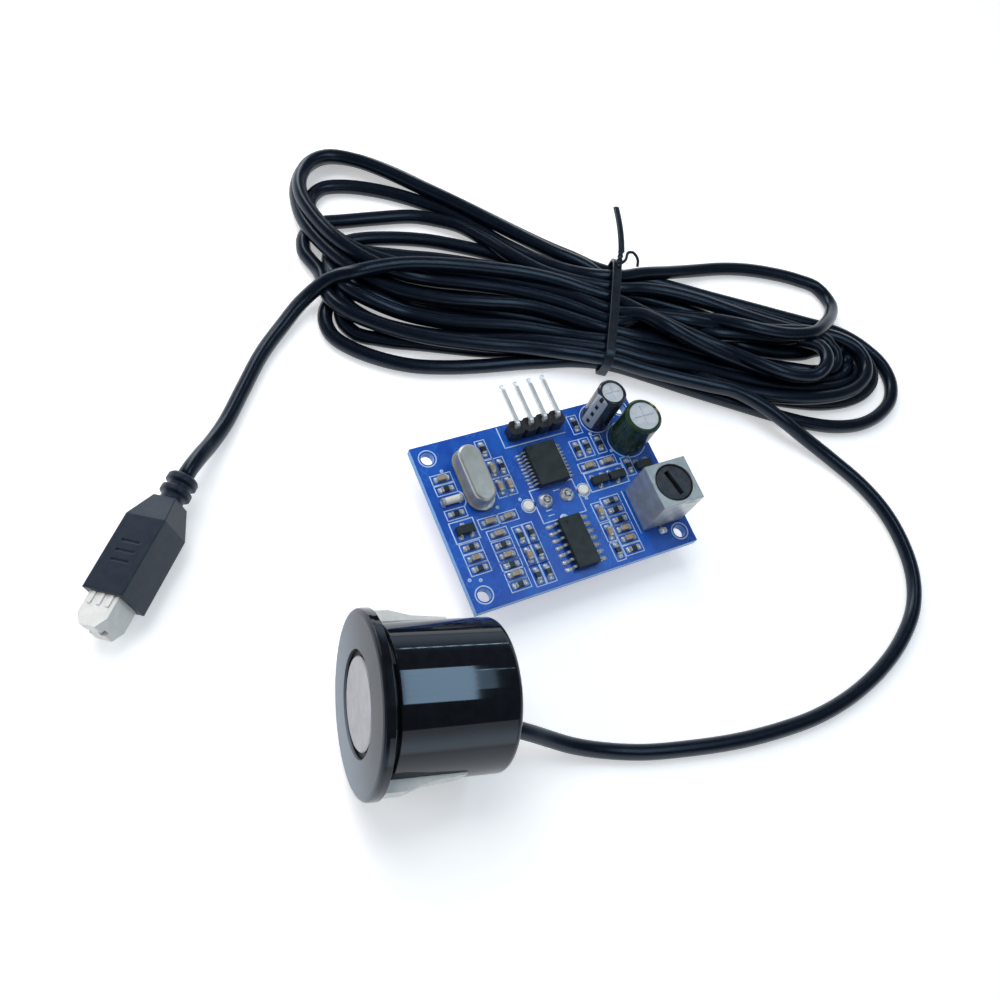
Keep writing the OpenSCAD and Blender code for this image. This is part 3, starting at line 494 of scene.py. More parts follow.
# Flat printed line along points, closed into a ring or with square ends: each side lies half a width off,
# farther at a corner by one over the cosine of half its turn
def printedLine(points, width, low, high, closed):
    p = np.asarray(points, float)
    if closed:
        back, front = np.roll(p, 1, axis=0), np.roll(p, -1, axis=0)
    else:
        back, front = np.vstack([2 * p[0] - p[1], p[:-1]]), np.vstack([p[1:], 2 * p[-1] - p[-2]])
    before, after = unit(p - back), unit(front - p)
    turned = unit(np.stack([-(before + after)[:, 1], (before + after)[:, 0]], axis=1))
    leaning = (turned * np.stack([-after[:, 1], after[:, 0]], axis=1)).sum(axis=1)
    reach = width / 2 / np.maximum(leaning, boardPrint["sharpest"])
    left, right = p + turned * reach[:, None], p - turned * reach[:, None]
    sides = ((left, low), (right, low), (right, high), (left, high))
    corners = np.stack([np.column_stack([q, np.full(len(q), z)]) for q, z in sides], axis=1)
    index = np.arange(len(p) * 4).reshape(-1, 4)
    ahead = np.roll(index, -1, axis=0) if closed else index[1:]
    here = index if closed else index[:-1]
    faces = np.stack([here, np.roll(here, -1, axis=1), np.roll(ahead, -1, axis=1), ahead], axis=-1)
    faces = faces.reshape(-1, 4).tolist()
    if not closed:
        faces += [index[0, ::-1].tolist(), index[-1].tolist()]
    return corners.reshape(-1, 3), faces


# The four corners, half a width and half a height off the middle
def boxLine(x, y, wide, tall):
    w, h = wide / 2, tall / 2
    return [(x - w, y - h), (x + w, y - h), (x + w, y + h), (x - w, y + h)]


# Circle or arc: radius times cosine and sine of equal turns about the middle
def ringLine(x, y, radius, count=40, start=0, end=360):
    turn = np.radians(np.linspace(start, end, count, endpoint=end - start < 360))
    return np.stack([x + radius * np.cos(turn), y + radius * np.sin(turn)], axis=1)


# Soft-cornered mound of solder: outlines that shrink with height, squared off by taking the given power
# of cosine and sine
mound = {"sides": 12, "turn": 0.26, "square": 0.5, "rings": ((1, -0.1), (0.95, 0.4), (0.75, 0.8), (0.4, 1))}


def solderMound(x, y, wide, tall, level, height):
    turn = np.linspace(0, 2 * np.pi, mound["sides"], endpoint=False) + mound["turn"]
    shape = np.stack([np.sign(w) * np.abs(w) ** mound["square"] for w in (np.cos(turn), np.sin(turn))], axis=1)
    shape = shape * (wide / 2, tall / 2)
    rings = [
        np.column_stack([shape * k + (x, y), np.full(len(turn), level + height * z)]) for k, z in mound["rings"]]
    index = np.arange(len(rings) * len(turn)).reshape(len(rings), -1)
    over = np.roll(index, -1, axis=1)
    faces = np.stack([index[:-1], over[:-1], over[1:], index[1:]], axis=-1).reshape(-1, 4).tolist()
    return np.vstack(rings), faces + [index[0, ::-1].tolist(), index[-1].tolist()]


# One piece from many lumps: each lump's face numbers move on by the points before it
def joined(name, parts, slot):
    points, faces, base = [], [], 0
    for at, sides in parts:
        points.append(at)
        faces += [[k + base for k in side] for side in sides]
        base += len(at)
    addPiece(name, (np.vstack(points) * mm).tolist(), faces, slot)


# Screw core with its slot as in the photo: a copy of the CAD node's mesh, its doubled points merged,
# turned about the core's upright axis
core = {"at": (15.7, -6.45, 0), "turn": 43.0, "weld": 0.001}


def turnCore(part):
    mesh = frame["nodes"]["coil_core"].data.copy()
    mesh.materials.clear()
    mesh.materials.append(finishes["ferrite"])
    shape = bmesh.new()
    shape.from_mesh(mesh)
    bmesh.ops.remove_doubles(shape, verts=shape.verts, dist=part["weld"] * mm)
    turn = Matrix.Rotation(math.radians(part["turn"]), 3, "Z")
    bmesh.ops.rotate(shape, verts=shape.verts, cent=[c * mm for c in part["at"]], matrix=turn)
    shape.to_mesh(mesh)
    shape.free()
    item = placed("core_seen", mesh)
    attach(item, "core")
    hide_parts("coil_core")


turnCore(core)
print("core turned")

# White print and solder of the board: lines, boxes, rings and dots by place and size, the box round a chip
# part, its two pads by their way from its middle, and the pads of each row of legs
boardPrint = {
    "level": 1.6,
    "thick": 0.02,
    "sunk": 0.01,
    "line": 0.15,
    "heavy": 1.3,
    "round": 1.4,
    "sharpest": 0.3,
    "chipBox": (3.5, 1.74),
    "chipPad": {"off": 0.98, "along": 0.85, "across": 1.0, "height": 0.34},
    "open": [
        [(-4.9, 14.3), (-4.9, 10.35), (6.6, 10.35)], [(11.4, -2.5), (11.4, -10.5)], [(-0.1, 0.9), (1.1, 0.9)],
        [(-2.8, -2.1), (-1.6, -2.1)], [(-2.8, -3), (-1.6, -3)], [(15.9, 10.6), (15.9, 12.6)],
        [(16.2, 10.6), (16.2, 12.6)], [(16.5, 10.6), (16.5, 12.6)],
        [(-15.5, 2.6), (-14.9, 3.3), (-14.9, 4.7), (-15.5, 5.4)],
    ],
    "boxes": [(-0.1, -1, 8, 6), (-17.1, -1.3, 4.1, 3.6), (10, 0.5, 7.4, 3.5)],
    "rings": [
        (12.9, 11.4, 2.72), (16.7, 6.2, 3.45), (-18.2, 12.1, 1.45), (18.2, 12.1, 1.45), (-18.2, -12.1, 1.45),
        (18.2, -12.1, 1.45), (-5.25, -0.4, 1.15), (5.05, -0.4, 1.15),
    ],
    "notch": {"arc": (-0.3, -4.1, 0.5, 14, 0, 180), "width": 0.5},
    "dots": [
        (-19.5, -9.2), (-17.8, -9.7), (-16.8, 9.4), (15.3, 10.3), (10.8, 8.9), (13.1, 4.9), (4.9, -1.9),
        (-6.2, 1.1), (-10.4, 0.9),
    ],
    "dot": {"radius": 0.2, "sides": 10, "width": 0.22},
    "legRows": [("controller_leads", 0.45, 0.38), ("amplifier_leads", 0.9, 0.72)],
    "legPad": {"under": 0.75, "height": 0.16},
    "transistorPad": {"width": 0.85, "more": 0.3, "height": 0.2},
    "others": [(15.3, -11.2, 1.6, 1.1), (-15.9, 4, 0.7, 1.4), (-18.75, 4, 0.7, 1.4)],
    "otherHeight": 0.5,
}


# Middle and size of a lump, seen from above
def footprint(lump):
    near, far = lump.min(axis=0)[:2], lump.max(axis=0)[:2]
    return (*(near + far) / 2, *(far - near))


# Printed outlines, and a box round every chip part, turned as the part's longer side lies
def printLines(part):
    low, high, line = part["level"] - part["sunk"], part["level"] + part["thick"], part["line"]
    silk = [printedLine(points, line * part["heavy"], low, high, False) for points in part["open"]]
    silk += [printedLine(boxLine(*box), line * part["heavy"], low, high, True) for box in part["boxes"]]
    silk += [printedLine(ringLine(*ring), line * part["round"], low, high, True) for ring in part["rings"]]
    silk.append(printedLine(ringLine(*part["notch"]["arc"]), part["notch"]["width"], low, high, False))
    dot = part["dot"]
    for at in part["dots"]:
        silk.append(printedLine(ringLine(*at, dot["radius"], dot["sides"]), dot["width"], low, high, True))
    for chip in lumps("chip_resistors") + lumps("chip_capacitors"):
        x, y, dx, dy = footprint(chip)
        wide, tall = part["chipBox"] if dx > dy else part["chipBox"][::-1]
        silk.append(printedLine(boxLine(x, y, wide, tall), line, low, high, True))
    return silk


# Solder where the ends of the chip parts and the feet of the legs meet the board; a leg's pad starts under
# its foot and reaches past its outer end
def solderPads(part):
    level, pads, end = part["level"], [], part["chipPad"]
    for chip in lumps("chip_resistors") + lumps("chip_capacitors"):
        x, y, dx, dy = footprint(chip)
        for off in (-end["off"], end["off"]):
            long, wide = end["along"], end["across"]
            place = (x + off, y, long, wide) if dx > dy else (x, y + off, wide, long)
            pads.append(solderMound(*place, level, end["height"]))
    under = part["legPad"]["under"]
    for name, reach, width in part["legRows"]:
        for leg in lumps(name):
            x, y, dx, dy = footprint(leg)
            side = 1 if x > 0 else -1
            middle = x + side * (dx / 2 + (reach - under) / 2)
            pads.append(solderMound(middle, y, reach + under, width, level, part["legPad"]["height"]))
    foot = part["transistorPad"]
    for leg in lumps("transistor_leads"):
        x, y, dx, dy = footprint(leg)
        pads.append(solderMound(x, y, foot["width"], dy + foot["more"], level, foot["height"]))
    return pads + [solderMound(*place, level, part["otherHeight"]) for place in part["others"]]


silk, pads = printLines(boardPrint), solderPads(boardPrint)
joined("board_print", silk, "silk_print")
joined("board_pads", pads, "solder")
print("board print:", len(silk), "lines,", len(pads), "pads")


# The cable: two free stretches that repeat the part's route, and the tied hank between them. Its strands
# are settled in rounds; ways along the cable are counted in steps
cable = {
    "diameter": 2.6,
    "sides": 16,
    "step": 1.0,
    "length": 2.4,
    "layHeight": 1.3,
    "layerHeight": 2.3,
    "settleRounds": 160,
    "easeRounds": 100,
    "bendRounds": 2,
    "pairRounds": 4,
    "pairGap": 0.8,
    "pairSteps": 8,
    "stiffReach": 6,
    "sideways": 0.25,
    "sink": 0.04,
    "keep": 0.9,
    "heldReach": 9,
    "fixedReach": 12,
    "fixedPoints": 2,
    "bendRadius": 5.4,
    "bendReach": 3,
}
bush = {"at": (3.0, -4.5), "leaves": 21.5, "straight": 1.6}
probe = {
    "at": (-43.4, -22.4),
    "turn": -14.0,
    "tilt": math.degrees(math.atan(2 / 17.5)),
    "flange": 26.0,
    "rim": 1.6,
    "barrel": 22.0,
}
plug = {"at": (-54.6, 20.3), "turn": -132.4, "roll": 28.0, "width": 7.0, "height": 6.2}
probeRoute = [
    (-20, -33.5, 5), (-17, -35.1, 3.2), (-13, -37.4, 1.4), (-8.5, -39.6, 0.3), (-2, -42.3, 0),
    (6, -44.6, 0), (14, -46.4, 0), (22, -47.5, 0), (30, -47.9, 0), (38, -47.1, 0), (46, -45, 0),
    (53, -41.8, 0), (58.7, -37.5, 0), (62.2, -32.2, 0), (63.8, -26, 0), (63.8, -19.5, 0),
    (62, -13, 0), (58.8, -7, 0.2), (54.7, -1.5, 1.2), (51.3, 2.5, 2.4), (48.3, 6.5, 2.8),
]
plugRoute = [
    (-51.2, 23.7, 2.4), (-48.8, 26, 1.2), (-45.5, 29.4, 0.3), (-41, 34.8, 0), (-36, 40.6, 0),
    (-31, 45, 0.3), (-26.3, 48.5, 1.2), (-20.8, 50.5, 2.9),
]
# Strands under the tie: ten low ones and nine on top, each layer at its height, by their distance along
# the tie
waist = {
    "at": (28.9, 32.4),
    "turn": 60.0,
    "low": {"spots": [-10.5, -8.3, -6, -3.6, -1.3, 1.1, 3.5, 5.8, 8.2, 10.5], "height": -3.6},
    "top": {"spots": [-11.1, -9, -7, -4.8, -2.5, -0.2, 2.6, 5.4, 8.2], "height": -1.35},
}
# Loops of the hank in the order in which the cable runs through them, as seen by the camera on the
# table, each with the layer of strands it lies in; between two loops its place under the tie is named
hankRun = [
    [(46.6, 11.8, 1.2), (42, 14.3, 1.2), (36.5, 17.3, 1.2), (30.8, 20.6, 1.2)],
    "top0",
    [(18, 27.6, 1.1), (10, 30.7, 1), (4, 32.6, 1), (-2, 34.8, 1), (-7, 36.9, 1), (-12, 39.7, 1), (-16, 42.6, 1),
     (-19, 45.4, 1), (-20.9, 48.4, 0.9), (-21.1, 51.5, 0.6), (-20.9, 54.2, 0.4), (-21.6, 56.6, 0.3),
     (-22.4, 59, 0.2), (-22, 61.2, 0.1), (-20.4, 62.8, 0), (-17.8, 63.8, 0), (-14, 63.7, 0), (-8, 63.4, 0),
     (0, 62.5, 0), (4, 61.1, 0.1), (8, 58.9, 0.2), (11.5, 55, 0.4), (16, 49.6, 0.8), (21, 45, 1)],
    "top7",
    [(38.5, 37.6, 1.2), (44, 35.4, 1.3), (50, 31.9, 1.3), (56, 27.5, 1.3), (62, 23.2, 1.3), (67, 20.3, 1.1),
     (72, 18.4, 1), (76, 16, 1), (78.3, 12.8, 1), (78.2, 9.8, 1), (76.2, 7.2, 1), (73, 5.7, 1), (69, 5.2, 1),
     (64, 5.7, 1), (58, 7.2, 1), (52, 9.4, 1), (47.5, 11.6, 1), (42, 15.2, 0.7), (36, 19.8, 0.2)],
    "low2",
    [(16, 32.2, 0), (8, 35.4, 0), (2, 37.9, 0.1), (-4, 40.4, 0.2), (-9, 43.2, 0.5), (-13, 46.6, 0.9),
     (-16.2, 49.6, 1), (-17.4, 52.2, 0.8), (-16.3, 54.4, 0.4), (-13.4, 55.3, 0.2), (-10, 54.7, 0.1),
     (-5, 53.3, 0.1), (0, 52, 0.1), (7, 49.4, 0.1), (15, 45.8, 0.1)],
    "low6",
    [(38, 31.2, 0), (46, 25.8, 0), (53, 20.6, 0), (60, 16.9, 0), (65.6, 15.2, 0.1), (70.4, 15.2, 0.6),
     (74.2, 14.6, 1.2), (75.4, 12.2, 1.5), (73.4, 10.1, 1.5), (70, 9, 1.4), (66, 9.1, 1.3), (62, 10.2, 1.3),
     (56, 12.5, 1.2), (48, 16, 1.1), (40, 20.3, 1.1), (33, 24.3, 1.1)],
    "top2",
    [(20, 30.6, 1.1), (10, 35, 1.1), (4, 36.9, 1.1), (-1.3, 38.6, 1.1), (-5.2, 40.3, 1.1), (-9.2, 42.5, 1.1),
     (-13.2, 45.5, 1.5), (-16.8, 48.9, 1.8), (-18.8, 51.8, 1.4), (-19.2, 54.8, 0.7), (-18.2, 57.5, 0.4),
     (-15.8, 58.8, 0.2), (-12, 59.1, 0), (-6, 58.4, 0), (0, 56.8, 0), (5, 54.7, 0), (11, 51.6, 0), (18, 46.8, 0)],
    "low7",
    [(37.6, 35.2, 0.2), (41.1, 33, 0.4), (46, 29.7, 0.6), (53, 25.2, 0.8), (60, 21.9, 0.9), (67, 19.3, 0.8),
     (72.7, 17.3, 0.8), (76, 14.4, 0.7), (76.4, 11, 0.7), (73.6, 8.4, 0.8), (69.2, 7.5, 0.9), (65.4, 7.9, 1),
     (62, 8.6, 1), (55, 10.9, 1), (47, 14.6, 1), (39, 18.8, 1.1), (32, 22.6, 1.15)],
    "top1",
    [(16, 30, 0.9), (8, 32.6, 0.5), (2, 34.2, 0.2), (-4, 35.3, 0), (-9, 37.5, 0), (-13, 40.1, 0.2),
     (-16.8, 43.4, 0.7), (-19.2, 47.2, 1), (-19.2, 51, 0.9), (-17.4, 53.8, 0.6), (-14, 54.6, 0.3),
     (-9.6, 53.4, 0.1), (-4, 51.3, 0), (6, 47.2, 0), (16, 41.6, 0)],
    "low5",
    [(40, 30.3, 0.9), (48, 26.9, 1), (56, 24, 1.1), (64, 21.2, 1.2), (68.4, 19.9, 1.2), (71.8, 18, 1),
     (73.1, 15, 1), (71.9, 12.1, 1.2), (69, 10.6, 1.5), (65.4, 11, 1.6), (60, 13.2, 1.4), (52, 16.6, 1.2),
     (44, 21, 1.1), (36.5, 25.5, 1.15)],
    "top3",
    [(14, 38.9, 1.2), (6, 41.5, 1.2), (0, 43.4, 1.2), (-6, 46, 1.2), (-10, 48.3, 1.1), (-13.6, 51.4, 1),
     (-16.4, 55.3, 0.9), (-18.6, 60, 0.8), (-19.9, 64.5, 0.7), (-20, 69, 0.5), (-18.9, 73.4, 0.2), (-16.2, 76.8, 0),
     (-12, 78.5, 0), (-6.5, 77, 0), (-1, 73.1, 0), (4, 68.4, 0), (9, 63.7, 0), (14, 58.9, 0), (19, 54, 0),
     (24, 49.4, 0), (29, 45.5, 0)],
    "low9",
    [(40, 38.9, 0), (44.5, 35.8, 0), (50, 32.1, 0), (56, 28.3, 0), (62, 24.4, 0), (68, 20.3, 0), (74, 16.3, 0),
     (78.2, 12.5, 0), (80.8, 8.6, 0), (80.9, 4.6, 0), (78.8, 1.2, 0), (74.8, -1, 0), (69.4, -1.9, 0), (63.6, -1, 0),
     (57.5, 1.5, 0), (51.5, 5, 0), (46, 8.7, 0), (41.3, 12, 0), (36, 15.8, 0), (30.5, 19.6, 0)],
    "low0",
    [(18, 25.9, 0), (10, 27.4, 0), (0, 28.9, 0), (-6, 30.1, 0), (-12, 31.9, 0), (-17, 34.5, 0), (-21.3, 37.8, 0),
     (-23.6, 40.8, 0), (-23.9, 43.5, 0), (-22.8, 46.1, 0), (-20, 48, 0), (-16.5, 49.5, 0), (-12, 49.6, 0),
     (-4, 47.2, 0), (6, 42.8, 0), (16, 37.8, 0)],
    "low4",
    [(40, 28.6, 0), (48, 25.2, 0.7), (56, 22.6, 1), (63, 20.1, 1), (67.4, 19, 1.4), (70.6, 16.8, 1.7),
     (71.2, 14, 1.9), (69, 11.6, 2), (65.2, 10.6, 1.8), (60.6, 11.4, 1.8), (56, 13.9, 1.7), (52, 17, 1.5),
     (48, 20.3, 1.7), (44, 23.9, 1.9), (40, 28.2, 2), (36, 32, 1.6)],
    "top5",
    [(24, 38.9, 1.3), (17, 43, 1.3), (10, 46.3, 1.3), (4, 48.7, 1.2), (-2, 51, 1), (-7, 53.2, 0.8),
     (-11.5, 56, 0.6), (-15.4, 60, 0.4), (-17.8, 64.2, 0.2), (-18.7, 68, 0.1), (-17.4, 70.6, 0), (-14.5, 71.9, 0),
     (-10.5, 71.6, 0), (-4, 69.2, 0), (2, 65.7, 0), (6, 62.6, 0), (9.6, 59.4, 0.3), (15.4, 52.2, 0.7),
     (20.3, 47.4, 1.1), (26.3, 43.9, 1.3)],
    "top8",
    [(40, 40.8, 1), (45, 39.9, 0.7), (50, 39.2, 0.4), (56, 38.3, 0.1), (62, 36.9, 0), (68, 34.7, 0),
     (73.5, 31.8, 0), (77.2, 28.6, 0), (78.3, 25.4, 0.2), (77.2, 22.7, 0.8), (74.5, 20.7, 1.6), (70.5, 19.3, 2.1),
     (65.5, 20.1, 2.1), (60, 22.2, 2), (55, 24.6, 1.8), (50, 26.7, 1.3), (45, 28.5, 0.9), (39.6, 30.6, 0.8),
     (34.6, 31.6, 1)],
    "top4",
    [(20, 38.9, 0.9), (12, 43.2, 0.8), (4, 46.3, 0.8), (-2, 48.5, 0.9), (-7, 51.2, 1.4), (-12.2, 55.6, 1.6),
     (-16, 60.6, 1.8), (-18.3, 66.3, 1.5), (-19, 71.4, 1.2), (-17.8, 75.3, 1), (-14.8, 78.4, 1), (-11, 79.3, 1),
     (-6, 77.4, 1), (-1, 73.7, 1), (3.8, 69.2, 1), (8.8, 64.5, 1), (13.8, 59.6, 1), (18.8, 54.6, 0.9),
     (23.8, 49.8, 0.7), (28.8, 45.6, 0.4)],
    "low8",
    [(40, 37.2, 0.3), (46, 34, 0.6), (53, 30.1, 0.8), (59.1, 26.7, 0.8), (64.5, 23.1, 0.8), (69, 20, 0.5),
     (74, 16.8, 0.2), (77.6, 12.8, 0), (78.7, 9.4, 0), (77, 6, 0), (73.5, 4.1, 0), (69, 3.5, 0), (63, 4.2, 0),
     (57, 6.1, 0), (51, 8.8, 0), (45, 12, 0), (39, 16, 0), (33, 20.2, 0)],
    "low1",
    [(16, 28.2, 0), (8, 30.6, 0), (2, 32.1, 0), (-4, 34.4, 0), (-9, 36.2, 0), (-13.6, 37.6, 0), (-17.4, 39.4, 0),
     (-20.2, 41.6, 0), (-21.1, 44.4, 0), (-19.8, 47.2, 0), (-16.6, 48.7, 0), (-12.8, 48.2, 0), (-8, 45.8, 0),
     (0, 41.6, 0), (12, 36, 0)],
    "low3",
    [(40, 27.2, 0), (48, 23.8, 0), (56, 21, 0), (63, 19.4, 0.3), (67.2, 18.7, 1.4), (70.4, 16.6, 2.3),
     (70.9, 13.8, 2.7), (68.8, 11.5, 2.7), (65.2, 10.8, 2.4), (61.4, 11.5, 2.4), (57.4, 13.7, 2.4), (52, 17.6, 2.2),
     (48, 21.1, 2.1), (44, 25, 2), (40, 28.7, 1.9), (36, 32.6, 1.6)],
    "top6",
    [(25, 40.9, 1.4), (20, 43.9, 1.5), (15, 46.4, 1.7), (10, 48.4, 1.8), (5, 50.2, 1.9), (0, 51.7, 2),
     (-5, 52.8, 2), (-10, 53.2, 2), (-15, 53, 1.9)],
]


# Height of the middle of a cable that lies on the table
def layLevel():
    return tableHeight / mm + cable["layHeight"]


# Points lifted along the line of sight from where they are seen on the table: x, y seen, z real. The
# share of the way to the camera is the share of the height
def fromSeen(seen):
    eye = np.array(cameraView["place"])
    low = np.column_stack([seen[:, :2], np.full(len(seen), layLevel())])
    share = (seen[:, 2:] - layLevel()) / (eye[2] - layLevel())
    return low + (eye - low) * share


# The other way round: the camera's share taken off, and the rest made whole again
def toSeen(line):
    eye = np.array(cameraView["place"])
    share = (line[:, 2:] - layLevel()) / (eye[2] - layLevel())
    return np.column_stack([(line[:, :2] - eye[:2] * share) / (1 - share), line[:, 2]])


# Place under the tie from its name, a layer and a number: the spot's way along the tie's direction
def lanePoint(name):
    turn, layer = math.radians(waist["turn"]), waist[name[:3]]
    offset = layer["spots"][int(name[3:])]
    middle = np.array(waist["at"]) + offset * np.array([math.cos(turn), math.sin(turn)])
    return np.append(middle, layer["height"])


# Middle of the probe's front face, and its directions down, aside and along the axis: the turn and tilt's
# cosines and sines, with the flange's lower rim on the table
def probeAxes():
    tilt, turn = math.radians(probe["tilt"]), math.radians(probe["turn"])
    along = np.array([math.cos(tilt) * math.cos(turn), math.cos(tilt) * math.sin(turn), -math.sin(tilt)])
    aside = np.array([-math.sin(turn), math.cos(turn), 0])
    down = np.array([-math.sin(tilt) * math.cos(turn), -math.sin(tilt) * math.sin(turn), -math.cos(tilt)])
    lift = probe["rim"] * math.sin(tilt) + probe["flange"] / 2 * math.cos(tilt)
    return np.array([*probe["at"], tableHeight / mm + lift]), down, aside, along


# Point given in the probe's own directions
def inProbe(x, y, z):
    origin, down, aside, along = probeAxes()
    return origin + down * x + aside * y + along * z


# Rear end of the plug and its direction: rolled over, its middle is half its slanted height up
def plugStart():
    roll, turn = math.radians(plug["roll"]), math.radians(plug["turn"])
    height = (plug["width"] * math.sin(roll) + plug["height"] * math.cos(roll)) / 2
    start = np.array([*plug["at"], tableHeight / mm + height])
    return start, np.array([math.cos(turn), math.sin(turn), 0])


# Points of the whole cable, and which of them lie under the tie
def cablePoints():
    points = [inProbe(*bush["at"], bush["leaves"] + k) for k in (0, bush["straight"])]
    points += [np.array([x, y, layLevel() + h]) for x, y, h in probeRoute]
    first = len(points) - cable["fixedPoints"]
    tied = []
    for part in hankRun:
        if isinstance(part, str):
            tied.append(len(points))
            points.append(lanePoint(part))
        else:
            seen = np.array(part, float)
            seen[:, 2] = layLevel() + seen[:, 2] * cable["layerHeight"]
            points += list(fromSeen(seen))
    last = len(points) + cable["fixedPoints"]
    points += [np.array([x, y, layLevel() + h]) for x, y, h in reversed(plugRoute)]
    start, ahead = plugStart()
    points += [start - ahead * bush["straight"], start]
    return np.array(points), first, last, tied


# Where the cable bends tighter than its limit, the point moves in by a quarter of what is over and its
# neighbours out by an eighth; each step goes back by a quarter towards its length
def gentler(x, loose):
    reach = cable["bendReach"]
    bend = x[2 * reach:] - 2 * x[reach:-reach] + x[:-2 * reach]
    size = np.maximum(np.linalg.norm(bend, axis=1, keepdims=True), 1e-9)
    over = bend / size * np.clip(size - reach ** 2 / cable["bendRadius"], 0, None)
    move = np.zeros_like(x)
    move[reach:-reach] += over / 4
    move[:-2 * reach] -= over / 8
    move[2 * reach:] -= over / 8
    gap = np.diff(x + move * loose, axis=0)
    length = np.linalg.norm(gap, axis=1, keepdims=True)
    fix = gap * (1 - cable["step"] / length) / 4
    move[:-1] += fix
    move[1:] -= fix
    return x + move * loose


# Strands closer than a diameter push each other apart along the line of sight and a little aside,
# sink and keep off the table; each round the shift is evened out along the cable, so that it bends gently
def settled(line, free, diameter):
    eye = np.array(cameraView["place"])
    reach = cable["stiffReach"]
    kernel = np.hanning(2 * reach + 3)[1:-1]
    kernel /= kernel.sum()
    loose = np.minimum(free, 1)[:, None]
    start = line.copy()
    for _ in range(cable["easeRounds"]):
        start = gentler(start, loose)
        start[:, 2] = np.maximum(start[:, 2], layLevel())
    rest = toSeen(start)
    seen = rest.copy()
    for k in range(cable["settleRounds"]):
        x = fromSeen(seen)
        if k % cable["pairRounds"] == 0:
            square = (x ** 2).sum(axis=1)
            gap = square[:, None] + square[None] - 2 * x @ x.T
            a, b = np.nonzero(np.triu(gap < (diameter + cable["pairGap"]) ** 2, cable["pairSteps"]))
        apart = x[b] - x[a]
        distance = np.maximum(np.linalg.norm(apart, axis=1, keepdims=True), 1e-6)
        push = np.clip(diameter - distance, 0, None) / 2
        move = np.zeros_like(x)
        count = np.zeros(len(x))
        np.add.at(move, a, -apart / distance * push)
        np.add.at(move, b, apart / distance * push)
        np.add.at(count, a, push[:, 0] > 0)
        np.add.at(count, b, push[:, 0] > 0)
        move /= np.sqrt(np.maximum(count, 1))[:, None]
        sight = (eye - x) / (eye[2] - x[:, 2:])
        lift = (move * sight).sum(axis=1) / (sight ** 2).sum(axis=1) - cable["sink"]
        slide = (move - sight * move[:, 2:])[:, :2] * cable["sideways"]
        shift = seen + np.column_stack([slide, lift]) * loose - rest
        shift[:, :2] *= cable["keep"]
        for c in range(3):
            shift[:, c] = np.convolve(np.pad(shift[:, c], reach, mode="edge"), kernel, mode="valid")
        x = fromSeen(rest + shift * loose)
        for _ in range(cable["bendRounds"]):
            x = gentler(x, loose)
        x[:, 2] = np.maximum(x[:, 2], layLevel())
        seen = toSeen(x)
    return x


# The whole cable as one tube; it is held at its ends and under the tie, and freer with the way from there
def makeCable():
    points, first, last, tied = cablePoints()
    line = splineThrough(points, cable["step"])
    order = np.arange(len(line))
    knots = [int(np.argmin(np.linalg.norm(line - points[k], axis=1))) for k in [first, last] + tied]
    reach = cable["fixedReach"]
    free = np.clip((order - knots[0]) / reach, 0, 1) * np.clip((knots[1] - order) / reach, 0, 1)
    for k in knots[2:]:
        free = np.minimum(free, np.abs(order - k) / cable["heldReach"])
    x = settled(line, free, cable["diameter"])
    print("cable", round(lineLength(x)), "mm,", len(x), "points, top", round(x[:, 2].max(), 1))
    ring = circleProfile(cable["diameter"] * mm, cable["sides"])
    item = gridSurface("cable", carried(x * mm, ring), "cable_cover")
    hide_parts("cable_from_probe", "cable_hank", "cable_to_plug")
    return item, x * mm


cableItem, cableLine = makeCable()

# Twist tie: a flat band with round rims over and under the hank, its twisted knot, its free end and the
# short loop of its other wire. The knot, end and loop are given as they are seen, with their real height
tie = {
    "at": (27.8, 32.5),
    "turn": 60.0,
    "half": 12.1,
    "crown": 0.5,
    "top": 0.25,
    "bottom": -5.2,
    "width": 1.7,
    "thickness": 0.55,
    "corner": 2.6,
    "cornerLift": 0.3,
    "cornerPoints": 9,
    "flatPoints": 25,
    "step": 0.5,
    "profile": {"points": 28, "across": 0.35, "through": 0.5, "rim": 0.35, "rimFrom": 2 / 3},
    "knot": {
        "line": [(36.2, 43.2, 0.6), (36.8, 44.4, 0.9), (37.6, 45.6, 1.4), (38.4, 46.8, 1.9)],
        "wire": 0.62, "turns": 2.0, "offset": 0.42, "sides": 10, "step": 0.25, "aside": (0.3, 0.2, 1),
    },
    "wires": {
        "tie_tail": {
            "line": [(38.4, 46.6, 1.9), (39.8, 49.6, 2.4), (41.1, 53, 2.6), (42.3, 57, 2.5)],
            "wide": 1.25, "flat": 0.5,
        },
        "tie_loop": {
            "line": [(36.6, 43.9, 0.4), (38.3, 44.6, 0.9), (39.7, 46.1, 1.2), (40.8, 45.9, 1.1), (41, 44.2, 0.5),
                     (40.1, 42.6, -0.2)],
            "wide": 0.55, "flat": 1,
        },
    },
    "wireStep": 0.3,
    "wireSides": 12,
}


# Profile of the band: cosine and sine to powers below one give flat faces, which swell by the rim's share
# over the outer third of the width
def bandProfile(width, thickness, shape):
    turn = np.linspace(0, 2 * np.pi, shape["points"], endpoint=False)
    x = np.sign(np.cos(turn)) * np.abs(np.cos(turn)) ** shape["across"] * width / 2
    outer = (np.abs(x) / (width / 2) - shape["rimFrom"]) / (1 - shape["rimFrom"])
    swell = 1 + shape["rim"] * np.clip(outer, 0, 1)
    y = np.sign(np.sin(turn)) * np.abs(np.sin(turn)) ** shape["through"] * thickness / 2 * swell
    return np.stack([x, y], axis=1)


